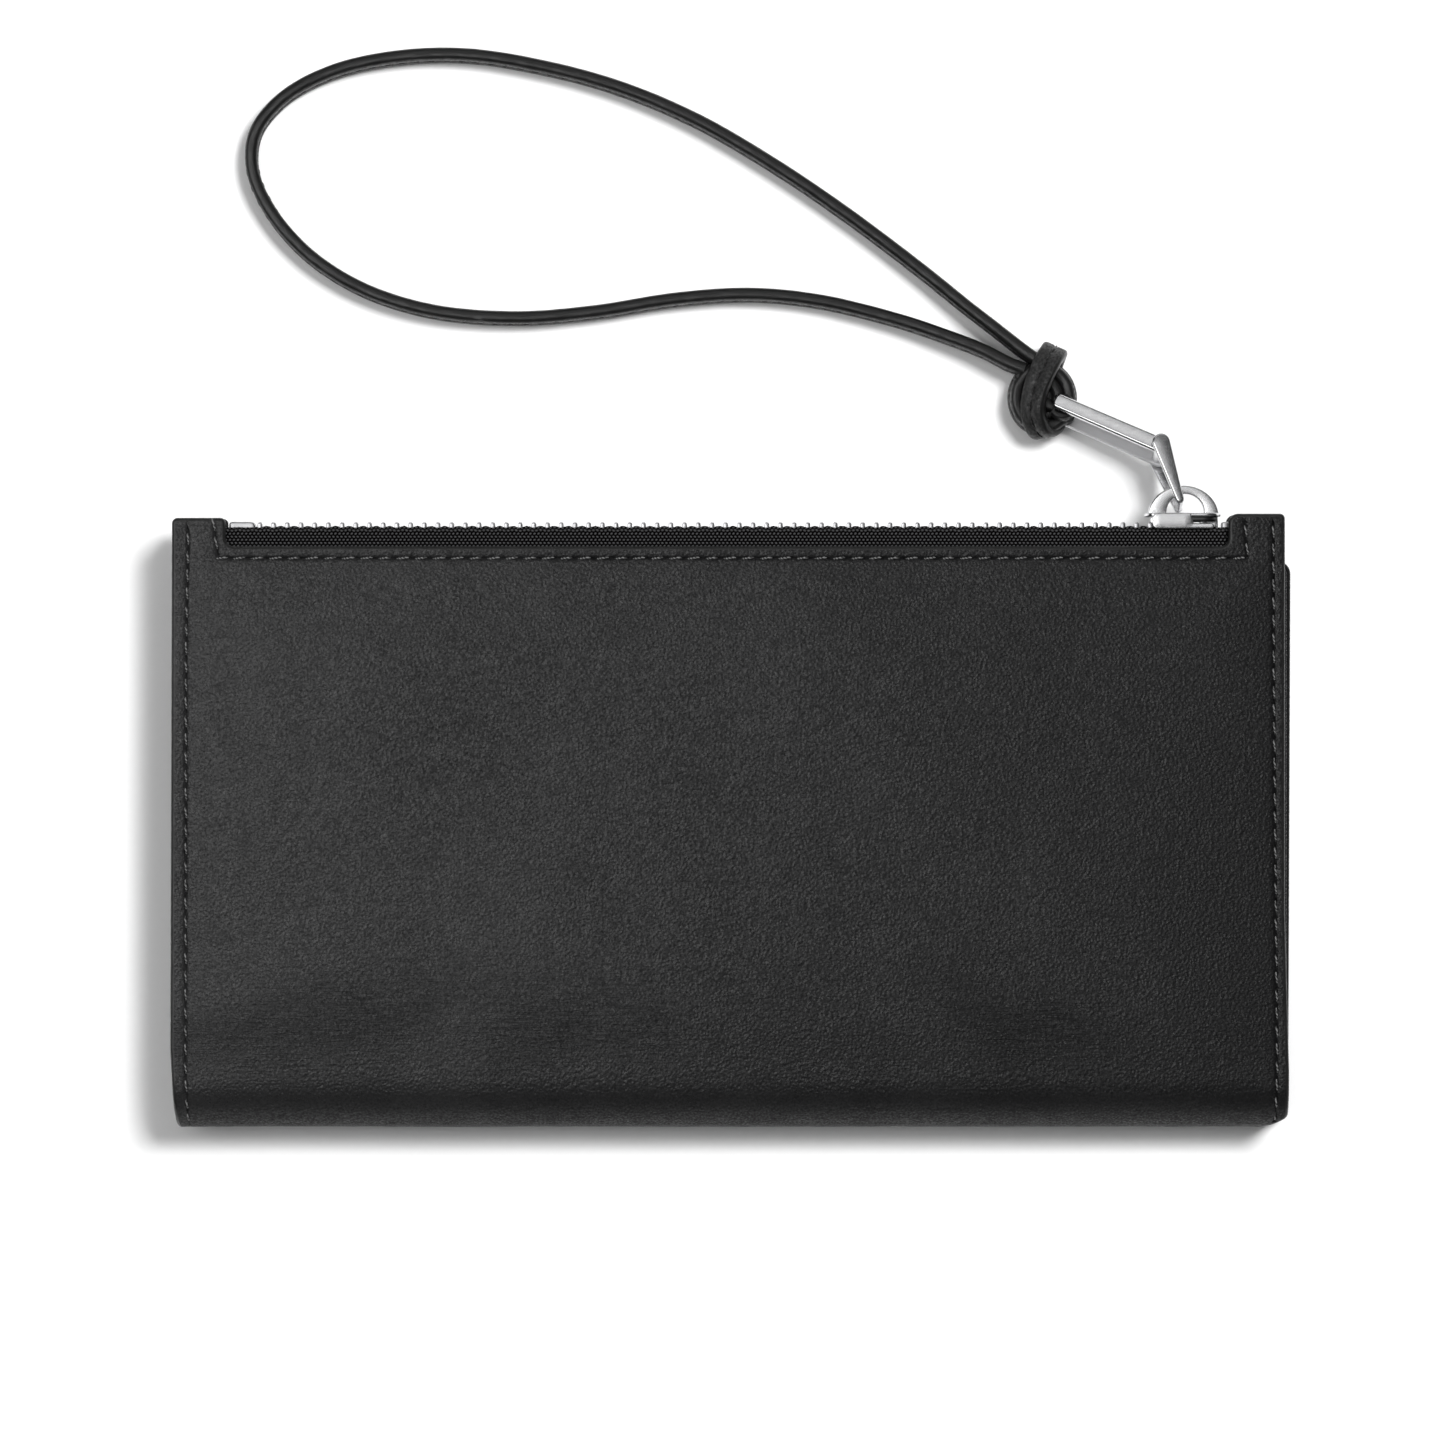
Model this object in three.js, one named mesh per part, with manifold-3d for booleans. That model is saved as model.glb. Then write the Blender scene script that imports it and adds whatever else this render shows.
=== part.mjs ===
// Wristlet wallet: a leather wallet folded once along its bottom edge, with a zip pocket in its
// front half, card slots inside both halves, and a wrist strap knotted to a link on the zip slider.
//
// Millimetres. X runs along the fold, +Y from the fold to the zip and +Z up. The closed wallet lies
// on its rear half, on the plane z = 0, and the origin is below the middle of its box.

import * as THREE from 'three';
import { mergeVertices } from 'three/addons/utils/BufferGeometryUtils.js';
import Module from 'manifold-3d';

const wasm = await Module();
wasm.setup();

// ---- Driving dimensions ----

const CLEARANCE = 0.3;              // kept between pieces that touch
const WELD_DISTANCE = 1e-4;         // corners closer than this are one corner
const ARC_SEGMENTS = 20;            // pieces of straight line in an arc that shows

// Outlines of the two halves
const FRONT_LEFT = -99.5;
const FRONT_RIGHT = 97.3;
const FRONT_TOP = 38.5;             // top of the shoulders beside the zip
const REAR_LEFT = -97.5;
const REAR_RIGHT = 99.5;
const REAR_TOP = 31.0;
const REAR_CORNER = 2.4;            // corner radius of the rear half's top edge
const FOLD_BOTTOM = -70.0;          // outside of the fold
const FOLD_TO_HALF = 0.8;           // from the end of the fold piece to each half

// The notch in the front half that holds the zip
const NOTCH_LEFT = -90.3;
const NOTCH_RIGHT = 87.3;
const NOTCH_EDGE = 33.2;
const NOTCH_CORNER = 1.2;
const SHOULDER_CORNER = 0.8;

// Layer thicknesses
const LEATHER = 1.4;
const LINING = 0.5;
const SLOT_SHEET = 0.6;
const DIVIDER = 1.0;
const LINING_INSET = 0.8;           // from the leather's edges to its lining's
const CLOSED_GAP = 0.5;             // between the innermost card slots of the closed halves
const BAG_DEPTH = 5.5;              // the zip pocket's lining bag, outside
const BAG_WALL = 0.5;

// Card slots: two columns of stepped sheets in each half
const SLOT_TIERS = 3;
const SLOT_MARGIN = 3.0;            // from the side edges of a half, and between the columns
const SLOT_FIRST_TOP = 26.0;
const SLOT_STEP = 13.0;
const SLOT_HEIGHT = 58.0;
const SLOT_CORNER = 1.5;

// Zip pocket
const BAG_SIDE_MARGIN = 6.4;        // from the side edges of the front half
const BAG_TOP = 30.0;
const BAG_BOTTOM = -58.0;
const GUSSET_WIDTH = 3.2;

// Zip
const TAPE_BOTTOM = 31.0;
const TAPE_TOP = 36.5;
const TAPE_MARGIN = 1.2;            // the tapes reach this far behind each shoulder
const TOOTH_PITCH = 2.43;
const TOOTH_WIDTH = 1.1;
const TEETH_TOP = 37.6;
const TEETH_THICKNESS = 1.6;
const TOOTH_INNER = 0.7;            // tooth ends, from the middle of the zip
const TOOTH_ROOT = 1.3;             // start of the bead that the teeth stand on
const TEETH_OUTER = 1.95;
const TEETH_RIGHT = 86.0;
const BOTTOM_STOP_LEFT = -90.0;
const BOTTOM_STOP_RIGHT = -85.5;
const TOP_STOP_WIDTH = 1.2;

// Slider
const SLIDER_LEFT = 72.7;
const SLIDER_RIGHT = 86.1;
const SLIDER_HALF_WIDTH = 3.8;
const SLIDER_TOP = 39.0;
const SLIDER_PLATE = 0.8;
const SLIDER_CORNER = 2.0;
const FLANGE_LEFT = 73.9;
const FLANGE_RIGHT = 80.9;
const FLANGE_BOTTOM = 36.3;
const FLANGE_WALL = 0.75;
const FLANGE_CORNER = 0.6;
const LIP_RIGHT = 84.8;             // lower lip of the flange beside the open throat
const LIP_HEIGHT = 1.0;
const LIP_CORNER = 0.3;
const LOWER_PLATE_HALF_WIDTH = 1.9;
const LOWER_PLATE_CORNER = 1.0;
const WEB_LEFT = 82.4;              // web that joins the two plates and parts the teeth
const WEB_RIGHT = 85.7;
const WEB_HALF_WIDTH = 0.4;
const WEB_CORNER = 0.2;
const BRIDGE_LEFT = 73.3;
const BRIDGE_RIGHT = 85.7;
const BRIDGE_TOP = 44.1;
const BRIDGE_HALF_WIDTH = 1.3;
const BRIDGE_HOLE_LEFT = 76.5;
const BRIDGE_HOLE_RIGHT = 83.2;
const BRIDGE_HOLE_TOP = 42.6;

// Link of two pieces between the slider and the strap. It leans down from the slider's height to
// the strap's, so it is drawn in a tilted plane: x along X, y up the slope and z across the link.
const LINK_TILT = THREE.MathUtils.degToRad(20);
const LINK_FOOT = [78.8, 40.8];     // centre of the shackle's bar in the slider's bridge
const SHACKLE_RISE = [-3.2, 9.95];  // from the bar to the pin, in the tilted plane
const RING_REACH = [-17.3, 8.15];   // from the pin to the ring's end bar, in the tilted plane
const SHACKLE_BAR_RADIUS = 0.7;
const SHACKLE_FOOT_RADIUS = 0.75;
const SHACKLE_HEAD_RADIUS = 1.6;
const SHACKLE_WALL = 0.9;
const SHACKLE_FOOT_INNER = 1.9;     // half of the gap between the legs, at the bar
const SHACKLE_HEAD_INNER = 4.1;     // and at the pin
const PIN_RADIUS = 0.65;
const PIN_SEAT = 0.5;               // depth of the pin in each leg
const RING_HINGE_RADIUS = 1.5;
const RING_END_RADIUS = 1.3;
const RING_BAR_RADIUS = 0.85;
const RING_RAIL_INNER = 2.6;
const RING_RAIL_WALL = 1.0;

// Strap: a flat leather strap that lies on its edge, in one loop that starts and ends in the knot
const STRAP_WIDTH = 4.8;
const STRAP_THICKNESS = 2.2;
const STRAP_CORNER = 0.5;
const KNOT_BOTTOM = 0.3;
const KNOT_TOP = 9.3;
const KNOT_OUTLINE = [
  [56.4, 52.8, 1.5], [56.4, 62.0, 1.5], [59.0, 68.0, 1.0], [56.6, 70.15, 0.8], [53.7, 69.2, 0.5],
  [49.4, 62.8, 0.5], [48.7, 59.2, 1.5], [49.7, 55.4, 1.5], [52.9, 53.1, 1.5],
];
const STRAP_ROUTE = [
  [51.7, 68.1, 4.7], [46.6, 72.1, 4.3], [41.0, 76.5, 3.6], [33.5, 82.6, 2.9], [19.7, 93.0, 2.6],
  [6.5, 101.9, 2.6], [-7.0, 109.7, 2.6], [-20.5, 115.4, 2.6], [-34.0, 119.1, 2.6],
  [-48.0, 121.3, 2.6], [-60.8, 120.9, 2.6], [-72.5, 118.2, 2.6], [-81.0, 113.5, 2.6],
  [-85.8, 107.5, 2.6], [-86.4, 101.0, 2.6], [-83.3, 93.6, 2.6], [-76.6, 85.8, 2.6],
  [-67.0, 79.6, 2.6], [-54.5, 75.6, 2.6], [-39.0, 74.3, 2.6], [-25.0, 75.4, 2.6],
  [-11.0, 77.6, 2.6], [2.0, 78.5, 2.6], [14.5, 77.4, 2.6], [28.7, 74.0, 2.9], [37.6, 71.0, 3.6],
  [44.0, 68.5, 4.3], [49.1, 65.9, 4.7],
];
const STRAP_STEPS = 78;

// ---- Derived dimensions ----

// Height of each layer as [bottom, top], from the table up
const LAYERS = {};
let stackTop = 0;
addLayer('rearLeather', LEATHER, 0);
addLayer('rearLining', LINING, CLEARANCE);
for (let tier = 1; tier <= SLOT_TIERS; tier++) addLayer(`rearSlot${tier}`, SLOT_SHEET, CLEARANCE);
for (let tier = SLOT_TIERS; tier >= 1; tier--) {
  addLayer(`frontSlot${tier}`, SLOT_SHEET, tier === SLOT_TIERS ? CLOSED_GAP : CLEARANCE);
}
addLayer('divider', DIVIDER, CLEARANCE);
addLayer('bag', BAG_DEPTH, CLEARANCE);
addLayer('frontLeather', LEATHER, CLEARANCE);

const FOLD_RADIUS = stackTop / 2;
const FOLD_CENTRE_Y = FOLD_BOTTOM + FOLD_RADIUS;
const HALF_BOTTOM = FOLD_CENTRE_Y + FOLD_TO_HALF;
const ZIP_MIDDLE = (LAYERS.bag[0] + LAYERS.bag[1]) / 2;

function addLayer(name, thickness, gapBelow) {
  LAYERS[name] = [stackTop + gapBelow, stackTop + gapBelow + thickness];
  stackTop = LAYERS[name][1];
}

// ---- Finishes ----

const finish = (color, roughness, metalness) =>
  new THREE.MeshStandardMaterial({ color, roughness, metalness });

const blackLeather = () => finish(0x1d1d1e, 0.6, 0);
const slotLeather = () => finish(0x242424, 0.65, 0);
const liningCloth = () => finish(0x1a1b1d, 0.85, 0);
const zipCloth = () => finish(0x111112, 0.9, 0);
const nickel = () => finish(0xc4c5c7, 0.25, 1);

// ---- Solids ----

function toSolid(geometry) {
  const bare = geometry.clone();
  bare.deleteAttribute('normal');
  bare.deleteAttribute('uv');
  const merged = mergeVertices(bare, WELD_DISTANCE);
  return new wasm.Manifold(new wasm.Mesh({
    numProp: 3,
    vertProperties: new Float32Array(merged.attributes.position.array),
    triVerts: new Uint32Array(merged.index.array),
  }));
}

function toGeometry(solid) {
  const mesh = solid.getMesh();
  const geometry = new THREE.BufferGeometry();
  geometry.setAttribute('position', new THREE.BufferAttribute(mesh.vertProperties, 3));
  geometry.setIndex(new THREE.BufferAttribute(mesh.triVerts, 1));
  geometry.computeVertexNormals();
  return geometry;
}

const join = (...parts) => toGeometry(parts.map(toSolid).reduce((sum, solid) => sum.add(solid)));

const cut = (body, ...tools) =>
  toGeometry(tools.map(toSolid).reduce((rest, tool) => rest.subtract(tool), toSolid(body)));

// A closed outline through corner points [x, y, radius], each rounded by its radius
function roundedOutline(corners) {
  const shape = new THREE.Shape();
  corners.forEach(([x, y, radius], i) => {
    const corner = new THREE.Vector2(x, y);
    const before = new THREE.Vector2(...corners.at(i - 1));
    const after = new THREE.Vector2(...corners[(i + 1) % corners.length]);
    const start = before.sub(corner).setLength(radius).add(corner);
    const end = after.sub(corner).setLength(radius).add(corner);
    if (i === 0) shape.moveTo(start.x, start.y);
    else shape.lineTo(start.x, start.y);
    if (radius > 0) shape.quadraticCurveTo(corner.x, corner.y, end.x, end.y);
  });
  shape.closePath();
  return shape;
}

const rectangle = (left, bottom, right, top, topCorner = 0) => roundedOutline([
  [left, bottom, 0], [right, bottom, 0], [right, top, topCorner], [left, top, topCorner],
]);

// A rod outline with round ends of two radii, from the origin to [x, y]
function taperedRod(startRadius, endRadius, [x, y]) {
  const direction = Math.atan2(y, x);
  const spread = Math.acos((startRadius - endRadius) / Math.hypot(x, y));
  const shape = new THREE.Shape();
  shape.absarc(0, 0, startRadius, direction + spread, direction - spread + 2 * Math.PI, false);
  shape.absarc(x, y, endRadius, direction - spread, direction + spread, false);
  shape.closePath();
  return shape;
}

function extrude(shape, depth, curveSegments = 4) {
  return new THREE.ExtrudeGeometry(shape, { depth, curveSegments, bevelEnabled: false });
}

// Slabs of an outline: drawn in XY and thick along Z, drawn in XZ and thick along Y, and drawn in
// YZ and thick along X
const slabZ = (shape, [low, high], segments) =>
  extrude(shape, high - low, segments).translate(0, 0, low);

const slabY = (shape, [low, high], segments) =>
  extrude(shape, high - low, segments).rotateX(Math.PI / 2).translate(0, high, 0);

function slabX(shape, [low, high], segments) {
  const turn = new THREE.Matrix4().makeBasis(
    new THREE.Vector3(0, 1, 0), new THREE.Vector3(0, 0, 1), new THREE.Vector3(1, 0, 0));
  return extrude(shape, high - low, segments).applyMatrix4(turn).translate(low, 0, 0);
}

const rodZ = (radius, halfLength, segments = 16) =>
  new THREE.CylinderGeometry(radius, radius, 2 * halfLength, segments).rotateX(Math.PI / 2);

function addPiece(parent, name, geometry, material) {
  const piece = new THREE.Mesh(geometry, material);
  piece.name = name;
  parent.add(piece);
  return piece;
}

// ---- The two halves ----

function addCardSlots(half, prefix, layerPrefix, left, right) {
  const columnWidth = (right - left - 3 * SLOT_MARGIN) / 2;
  for (const [side, start] of [
    ['left', left + SLOT_MARGIN],
    ['right', right - SLOT_MARGIN - columnWidth],
  ]) {
    for (let tier = 1; tier <= SLOT_TIERS; tier++) {
      const top = SLOT_FIRST_TOP - (tier - 1) * SLOT_STEP;
      const bottom = Math.max(top - SLOT_HEIGHT, HALF_BOTTOM + SLOT_MARGIN);
      const sheet = rectangle(start, bottom, start + columnWidth, top, SLOT_CORNER);
      const layer = LAYERS[`${layerPrefix}${tier}`];
      addPiece(half, `${prefix}_card_slot_${side}_${tier}`, slabZ(sheet, layer), slotLeather());
    }
  }
}

function makeRearHalf() {
  const half = new THREE.Group();
  const leather = rectangle(REAR_LEFT, HALF_BOTTOM, REAR_RIGHT, REAR_TOP, REAR_CORNER);
  const lining = rectangle(REAR_LEFT + LINING_INSET, HALF_BOTTOM, REAR_RIGHT - LINING_INSET,
    REAR_TOP - LINING_INSET, REAR_CORNER);
  addPiece(half, 'rear_cover_leather', slabZ(leather, LAYERS.rearLeather), blackLeather());
  addPiece(half, 'rear_lining', slabZ(lining, LAYERS.rearLining), liningCloth());
  addCardSlots(half, 'rear', 'rearSlot', REAR_LEFT, REAR_RIGHT);
  return half;
}

const notchedOutline = () => roundedOutline([
  [FRONT_LEFT, HALF_BOTTOM, 0], [FRONT_RIGHT, HALF_BOTTOM, 0],
  [FRONT_RIGHT, FRONT_TOP, SHOULDER_CORNER], [NOTCH_RIGHT, FRONT_TOP, 2 * SHOULDER_CORNER],
  [NOTCH_RIGHT, NOTCH_EDGE, NOTCH_CORNER], [NOTCH_LEFT, NOTCH_EDGE, NOTCH_CORNER],
  [NOTCH_LEFT, FRONT_TOP, SHOULDER_CORNER], [FRONT_LEFT, FRONT_TOP, SHOULDER_CORNER],
]);

function makePocketBag() {
  const left = FRONT_LEFT + BAG_SIDE_MARGIN;
  const right = FRONT_RIGHT - BAG_SIDE_MARGIN;
  const [low, high] = LAYERS.bag;
  const outside = slabZ(rectangle(left, BAG_BOTTOM, right, BAG_TOP), [low, high]);
  const inside = slabZ(
    rectangle(left + BAG_WALL, BAG_BOTTOM + BAG_WALL, right - BAG_WALL, BAG_TOP + BAG_WALL),
    [low + BAG_WALL, high - BAG_WALL]);
  return cut(outside, inside);
}

function makeFrontHalf() {
  const half = new THREE.Group();
  const outline = notchedOutline();
  addPiece(half, 'front_leather_panel', slabZ(outline, LAYERS.frontLeather), blackLeather());
  addPiece(half, 'pocket_divider', slabZ(outline, LAYERS.divider), slotLeather());
  addPiece(half, 'pocket_lining_bag', makePocketBag(), liningCloth());
  for (const [side, left] of [['left', FRONT_LEFT], ['right', FRONT_RIGHT - GUSSET_WIDTH]]) {
    const strip = rectangle(left, HALF_BOTTOM, left + GUSSET_WIDTH, FRONT_TOP - CLEARANCE);
    addPiece(half, `pocket_gusset_${side}`, slabZ(strip, LAYERS.bag), blackLeather());
  }
  addCardSlots(half, 'front', 'frontSlot', FRONT_LEFT, FRONT_RIGHT);
  return half;
}

// The leather and its lining in the fold, each a half tube along X
function makeFold() {
  const fold = new THREE.Group();
  const halfTube = (outer, wall, [left, right]) => {
    const section = new THREE.Shape();
    section.absarc(FOLD_CENTRE_Y, FOLD_RADIUS, outer, Math.PI / 2, 1.5 * Math.PI, false);
    section.absarc(FOLD_CENTRE_Y, FOLD_RADIUS, outer - wall, 1.5 * Math.PI, Math.PI / 2, true);
    section.closePath();
    return slabX(section, [left, right], ARC_SEGMENTS);
  };
  const leather = halfTube(FOLD_RADIUS, LEATHER, [FRONT_LEFT + FOLD_TO_HALF, FRONT_RIGHT]);
  const lining = halfTube(FOLD_RADIUS - LEATHER - CLEARANCE, LINING,
    [REAR_LEFT + LINING_INSET, FRONT_RIGHT - LINING_INSET]);
  addPiece(fold, 'fold_leather', leather, blackLeather());
  addPiece(fold, 'fold_lining', lining, liningCloth());
  return fold;
}

// ---- Zip ----

// One row of teeth on its bead. side is 1 for the front row and -1 for the rear row, whose teeth
// stand half a pitch along.
function makeTeethRow(side) {
  const first = BOTTOM_STOP_RIGHT + CLEARANCE + (side > 0 ? 0 : TOOTH_PITCH / 2);
  const comb = new THREE.Shape();
  const line = (x, offset) => comb.lineTo(x, ZIP_MIDDLE + side * offset);
  comb.moveTo(BOTTOM_STOP_RIGHT + CLEARANCE, ZIP_MIDDLE + side * TEETH_OUTER);
  line(BOTTOM_STOP_RIGHT + CLEARANCE, TOOTH_ROOT);
  for (let x = first + CLEARANCE; x + TOOTH_WIDTH < TEETH_RIGHT; x += TOOTH_PITCH) {
    line(x, TOOTH_ROOT);
    line(x, TOOTH_INNER);
    line(x + TOOTH_WIDTH, TOOTH_INNER);
    line(x + TOOTH_WIDTH, TOOTH_ROOT);
  }
  line(TEETH_RIGHT, TOOTH_ROOT);
  line(TEETH_RIGHT, TEETH_OUTER);
  comb.closePath();
  return slabY(comb, [TEETH_TOP - TEETH_THICKNESS, TEETH_TOP]);
}

function addZip(half) {
  const teethHeight = [TEETH_TOP - TEETH_THICKNESS, TEETH_TOP];
  const tapeOutline = rectangle(NOTCH_LEFT - TAPE_MARGIN, TAPE_BOTTOM, NOTCH_RIGHT + TAPE_MARGIN,
    TAPE_TOP);
  const [bagLow, bagHigh] = LAYERS.bag;
  for (const [name, side, tape] of [
    ['front', 1, [bagHigh - BAG_WALL, bagHigh]],
    ['rear', -1, [bagLow, bagLow + BAG_WALL]],
  ]) {
    const stopEnds = [TOOTH_INNER, TEETH_OUTER].map((offset) => ZIP_MIDDLE + side * offset);
    const stop = rectangle(TEETH_RIGHT + CLEARANCE, Math.min(...stopEnds),
      TEETH_RIGHT + CLEARANCE + TOP_STOP_WIDTH, Math.max(...stopEnds));
    addPiece(half, `zip_tape_${name}`, slabZ(tapeOutline, tape), zipCloth());
    addPiece(half, `zip_teeth_${name}`, makeTeethRow(side), nickel());
    addPiece(half, `zip_top_stop_${name}`, slabY(stop, teethHeight), nickel());
  }
  const bottomStop = rectangle(BOTTOM_STOP_LEFT, ZIP_MIDDLE - TEETH_OUTER, BOTTOM_STOP_RIGHT,
    ZIP_MIDDLE + TEETH_OUTER);
  addPiece(half, 'zip_bottom_stop', slabY(bottomStop, teethHeight), nickel());
}

const halfEllipse = (left, right, bottom, top) => {
  const shape = new THREE.Shape();
  const middle = (left + right) / 2;
  shape.absellipse(middle, bottom, (right - left) / 2, top - bottom, 0, Math.PI, false);
  shape.closePath();
  return shape;
};

function makeSlider() {
  const plateBottom = SLIDER_TOP - SLIDER_PLATE;
  const lowerPlateTop = TEETH_TOP - TEETH_THICKNESS - CLEARANCE;
  const lipTop = FLANGE_BOTTOM + LIP_HEIGHT;
  const plate = (left, right, halfWidth, corner) => roundedOutline([
    [left, ZIP_MIDDLE - halfWidth, corner], [right, ZIP_MIDDLE - halfWidth, corner],
    [right, ZIP_MIDDLE + halfWidth, corner], [left, ZIP_MIDDLE + halfWidth, corner],
  ]);
  const flange = roundedOutline([
    [FLANGE_LEFT, FLANGE_BOTTOM, FLANGE_CORNER], [LIP_RIGHT, FLANGE_BOTTOM, LIP_CORNER],
    [LIP_RIGHT, lipTop, 0], [FLANGE_RIGHT, lipTop, 0],
    [FLANGE_RIGHT, SLIDER_TOP - SLIDER_PLATE / 2, 0], [FLANGE_LEFT, SLIDER_TOP - SLIDER_PLATE / 2, 0],
  ]);
  const bridge = cut(
    slabZ(halfEllipse(BRIDGE_LEFT, BRIDGE_RIGHT, plateBottom, BRIDGE_TOP),
      [ZIP_MIDDLE - BRIDGE_HALF_WIDTH, ZIP_MIDDLE + BRIDGE_HALF_WIDTH], ARC_SEGMENTS),
    slabZ(halfEllipse(BRIDGE_HOLE_LEFT, BRIDGE_HOLE_RIGHT, SLIDER_TOP, BRIDGE_HOLE_TOP),
      [ZIP_MIDDLE - 2 * BRIDGE_HALF_WIDTH, ZIP_MIDDLE + 2 * BRIDGE_HALF_WIDTH], ARC_SEGMENTS));
  const flanges = [-1, 1].map((side) => {
    const ends = [SLIDER_HALF_WIDTH - FLANGE_WALL, SLIDER_HALF_WIDTH]
      .map((offset) => ZIP_MIDDLE + side * offset);
    return slabZ(flange, [Math.min(...ends), Math.max(...ends)]);
  });
  return join(
    slabY(plate(SLIDER_LEFT, SLIDER_RIGHT, SLIDER_HALF_WIDTH, SLIDER_CORNER),
      [plateBottom, SLIDER_TOP]),
    slabY(plate(FLANGE_LEFT, WEB_RIGHT, LOWER_PLATE_HALF_WIDTH, LOWER_PLATE_CORNER),
      [lowerPlateTop - SLIDER_PLATE, lowerPlateTop]),
    slabY(plate(WEB_LEFT, WEB_RIGHT, WEB_HALF_WIDTH, WEB_CORNER),
      [lowerPlateTop - SLIDER_PLATE / 2, SLIDER_TOP - SLIDER_PLATE / 2]),
    ...flanges,
    bridge);
}

// ---- Link ----

// One leg of the shackle, which leans away from the middle from its foot to its head
function makeShackleLeg(side) {
  const outline = taperedRod(SHACKLE_FOOT_RADIUS, SHACKLE_HEAD_RADIUS, SHACKLE_RISE);
  const [low, high] = side > 0 ? [0, SHACKLE_WALL] : [-SHACKLE_WALL, 0];
  const leg = slabZ(outline, [low, high], ARC_SEGMENTS / 2);
  const [x, y] = SHACKLE_RISE;
  const length = Math.hypot(x, y);
  const lean = (SHACKLE_HEAD_INNER - SHACKLE_FOOT_INNER) / length;
  const shear = new THREE.Matrix4().set(
    1, 0, 0, 0,
    0, 1, 0, 0,
    side * lean * x / length, side * lean * y / length, 1, side * SHACKLE_FOOT_INNER,
    0, 0, 0, 1);
  return leg.applyMatrix4(shear);
}

function makeShackle() {
  const bar = rodZ(SHACKLE_BAR_RADIUS, SHACKLE_FOOT_INNER + SHACKLE_WALL / 2);
  const pinHole = rodZ(PIN_RADIUS + CLEARANCE, SHACKLE_HEAD_INNER + PIN_SEAT)
    .translate(...SHACKLE_RISE, 0);
  return cut(join(makeShackleLeg(1), makeShackleLeg(-1), bar), pinHole);
}

// The ring lies along its own x axis, from the pin to the end bar
function makeRing() {
  const length = Math.hypot(...RING_REACH);
  const rail = taperedRod(RING_HINGE_RADIUS, RING_END_RADIUS, [length, 0]);
  const railOuter = RING_RAIL_INNER + RING_RAIL_WALL;
  const crossHalf = RING_RAIL_INNER + RING_RAIL_WALL / 2;
  const body = join(
    slabZ(rail, [RING_RAIL_INNER, railOuter], ARC_SEGMENTS / 2),
    slabZ(rail, [-railOuter, -RING_RAIL_INNER], ARC_SEGMENTS / 2),
    rodZ(RING_HINGE_RADIUS, crossHalf, ARC_SEGMENTS),
    rodZ(RING_BAR_RADIUS, crossHalf).translate(length, 0, 0));
  return cut(body, rodZ(PIN_RADIUS + CLEARANCE, 2 * railOuter));
}

function makeLink() {
  const link = new THREE.Group();
  link.position.set(...LINK_FOOT, ZIP_MIDDLE);
  link.rotation.x = -LINK_TILT;
  addPiece(link, 'link_shackle', makeShackle(), nickel());
  const pin = rodZ(PIN_RADIUS, SHACKLE_HEAD_INNER + PIN_SEAT - CLEARANCE);
  addPiece(link, 'link_pin', pin, nickel()).position.set(...SHACKLE_RISE, 0);
  const ring = addPiece(link, 'link_ring', makeRing(), nickel());
  ring.position.set(...SHACKLE_RISE, 0);
  ring.rotation.z = Math.atan2(RING_REACH[1], RING_REACH[0]);
  return link;
}

// ---- Strap ----

// The knot: a block of wrapped strap with an eye that holds the ring's end bar
function makeKnot() {
  const eye = new THREE.Shape();
  const eyeInner = RING_BAR_RADIUS + CLEARANCE;
  eye.absarc(0, 0, eyeInner + STRAP_THICKNESS, 0, 2 * Math.PI, false);
  const hole = new THREE.Path();
  hole.absarc(0, 0, eyeInner, 0, 2 * Math.PI, true);
  eye.holes.push(hole);
  const eyeHalfWidth = RING_RAIL_INNER - CLEARANCE;
  const slope = SHACKLE_RISE[1] + RING_REACH[1];
  const eyeSolid = slabZ(eye, [-eyeHalfWidth, eyeHalfWidth], ARC_SEGMENTS)
    .translate(SHACKLE_RISE[0] + RING_REACH[0], slope, 0)
    .rotateX(-LINK_TILT)
    .translate(...LINK_FOOT, ZIP_MIDDLE);
  return join(slabZ(roundedOutline(KNOT_OUTLINE), [KNOT_BOTTOM, KNOT_TOP]), eyeSolid);
}

function makeStrapLoop() {
  const route = new THREE.CatmullRomCurve3(
    STRAP_ROUTE.map((point) => new THREE.Vector3(...point)), false, 'centripetal');
  const w = STRAP_WIDTH / 2;
  const t = STRAP_THICKNESS / 2;
  const section = new THREE.Shape([
    [w - STRAP_CORNER, -t], [w, STRAP_CORNER - t], [w, t - STRAP_CORNER], [w - STRAP_CORNER, t],
    [STRAP_CORNER - w, t], [-w, t - STRAP_CORNER], [-w, STRAP_CORNER - t], [STRAP_CORNER - w, -t],
  ].map(([x, y]) => new THREE.Vector2(x, y)));
  return new THREE.ExtrudeGeometry(section, { steps: STRAP_STEPS, extrudePath: route });
}

// ---- Assembly ----

const wallet = new THREE.Group();
const frontHalf = makeFrontHalf();
addZip(frontHalf);
wallet.add(makeRearHalf(), makeFold(), frontHalf, makeLink());
addPiece(wallet, 'zip_slider', makeSlider(), nickel());
addPiece(wallet, 'strap_knot', makeKnot(), blackLeather());
addPiece(wallet, 'strap_loop', makeStrapLoop(), blackLeather());

export default wallet;
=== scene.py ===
"""The looks of the wristlet wallet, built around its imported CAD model.

Shapes are worked out in millimetres, in the CAD model's frame, and stored in metres. The outer
leather and the linings are drawn flat, in x and the distance s from the start of the fold, and then
laid along the wallet's section.
"""

import math

import bpy
import numpy as np
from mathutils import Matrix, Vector, geometry, noise


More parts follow.
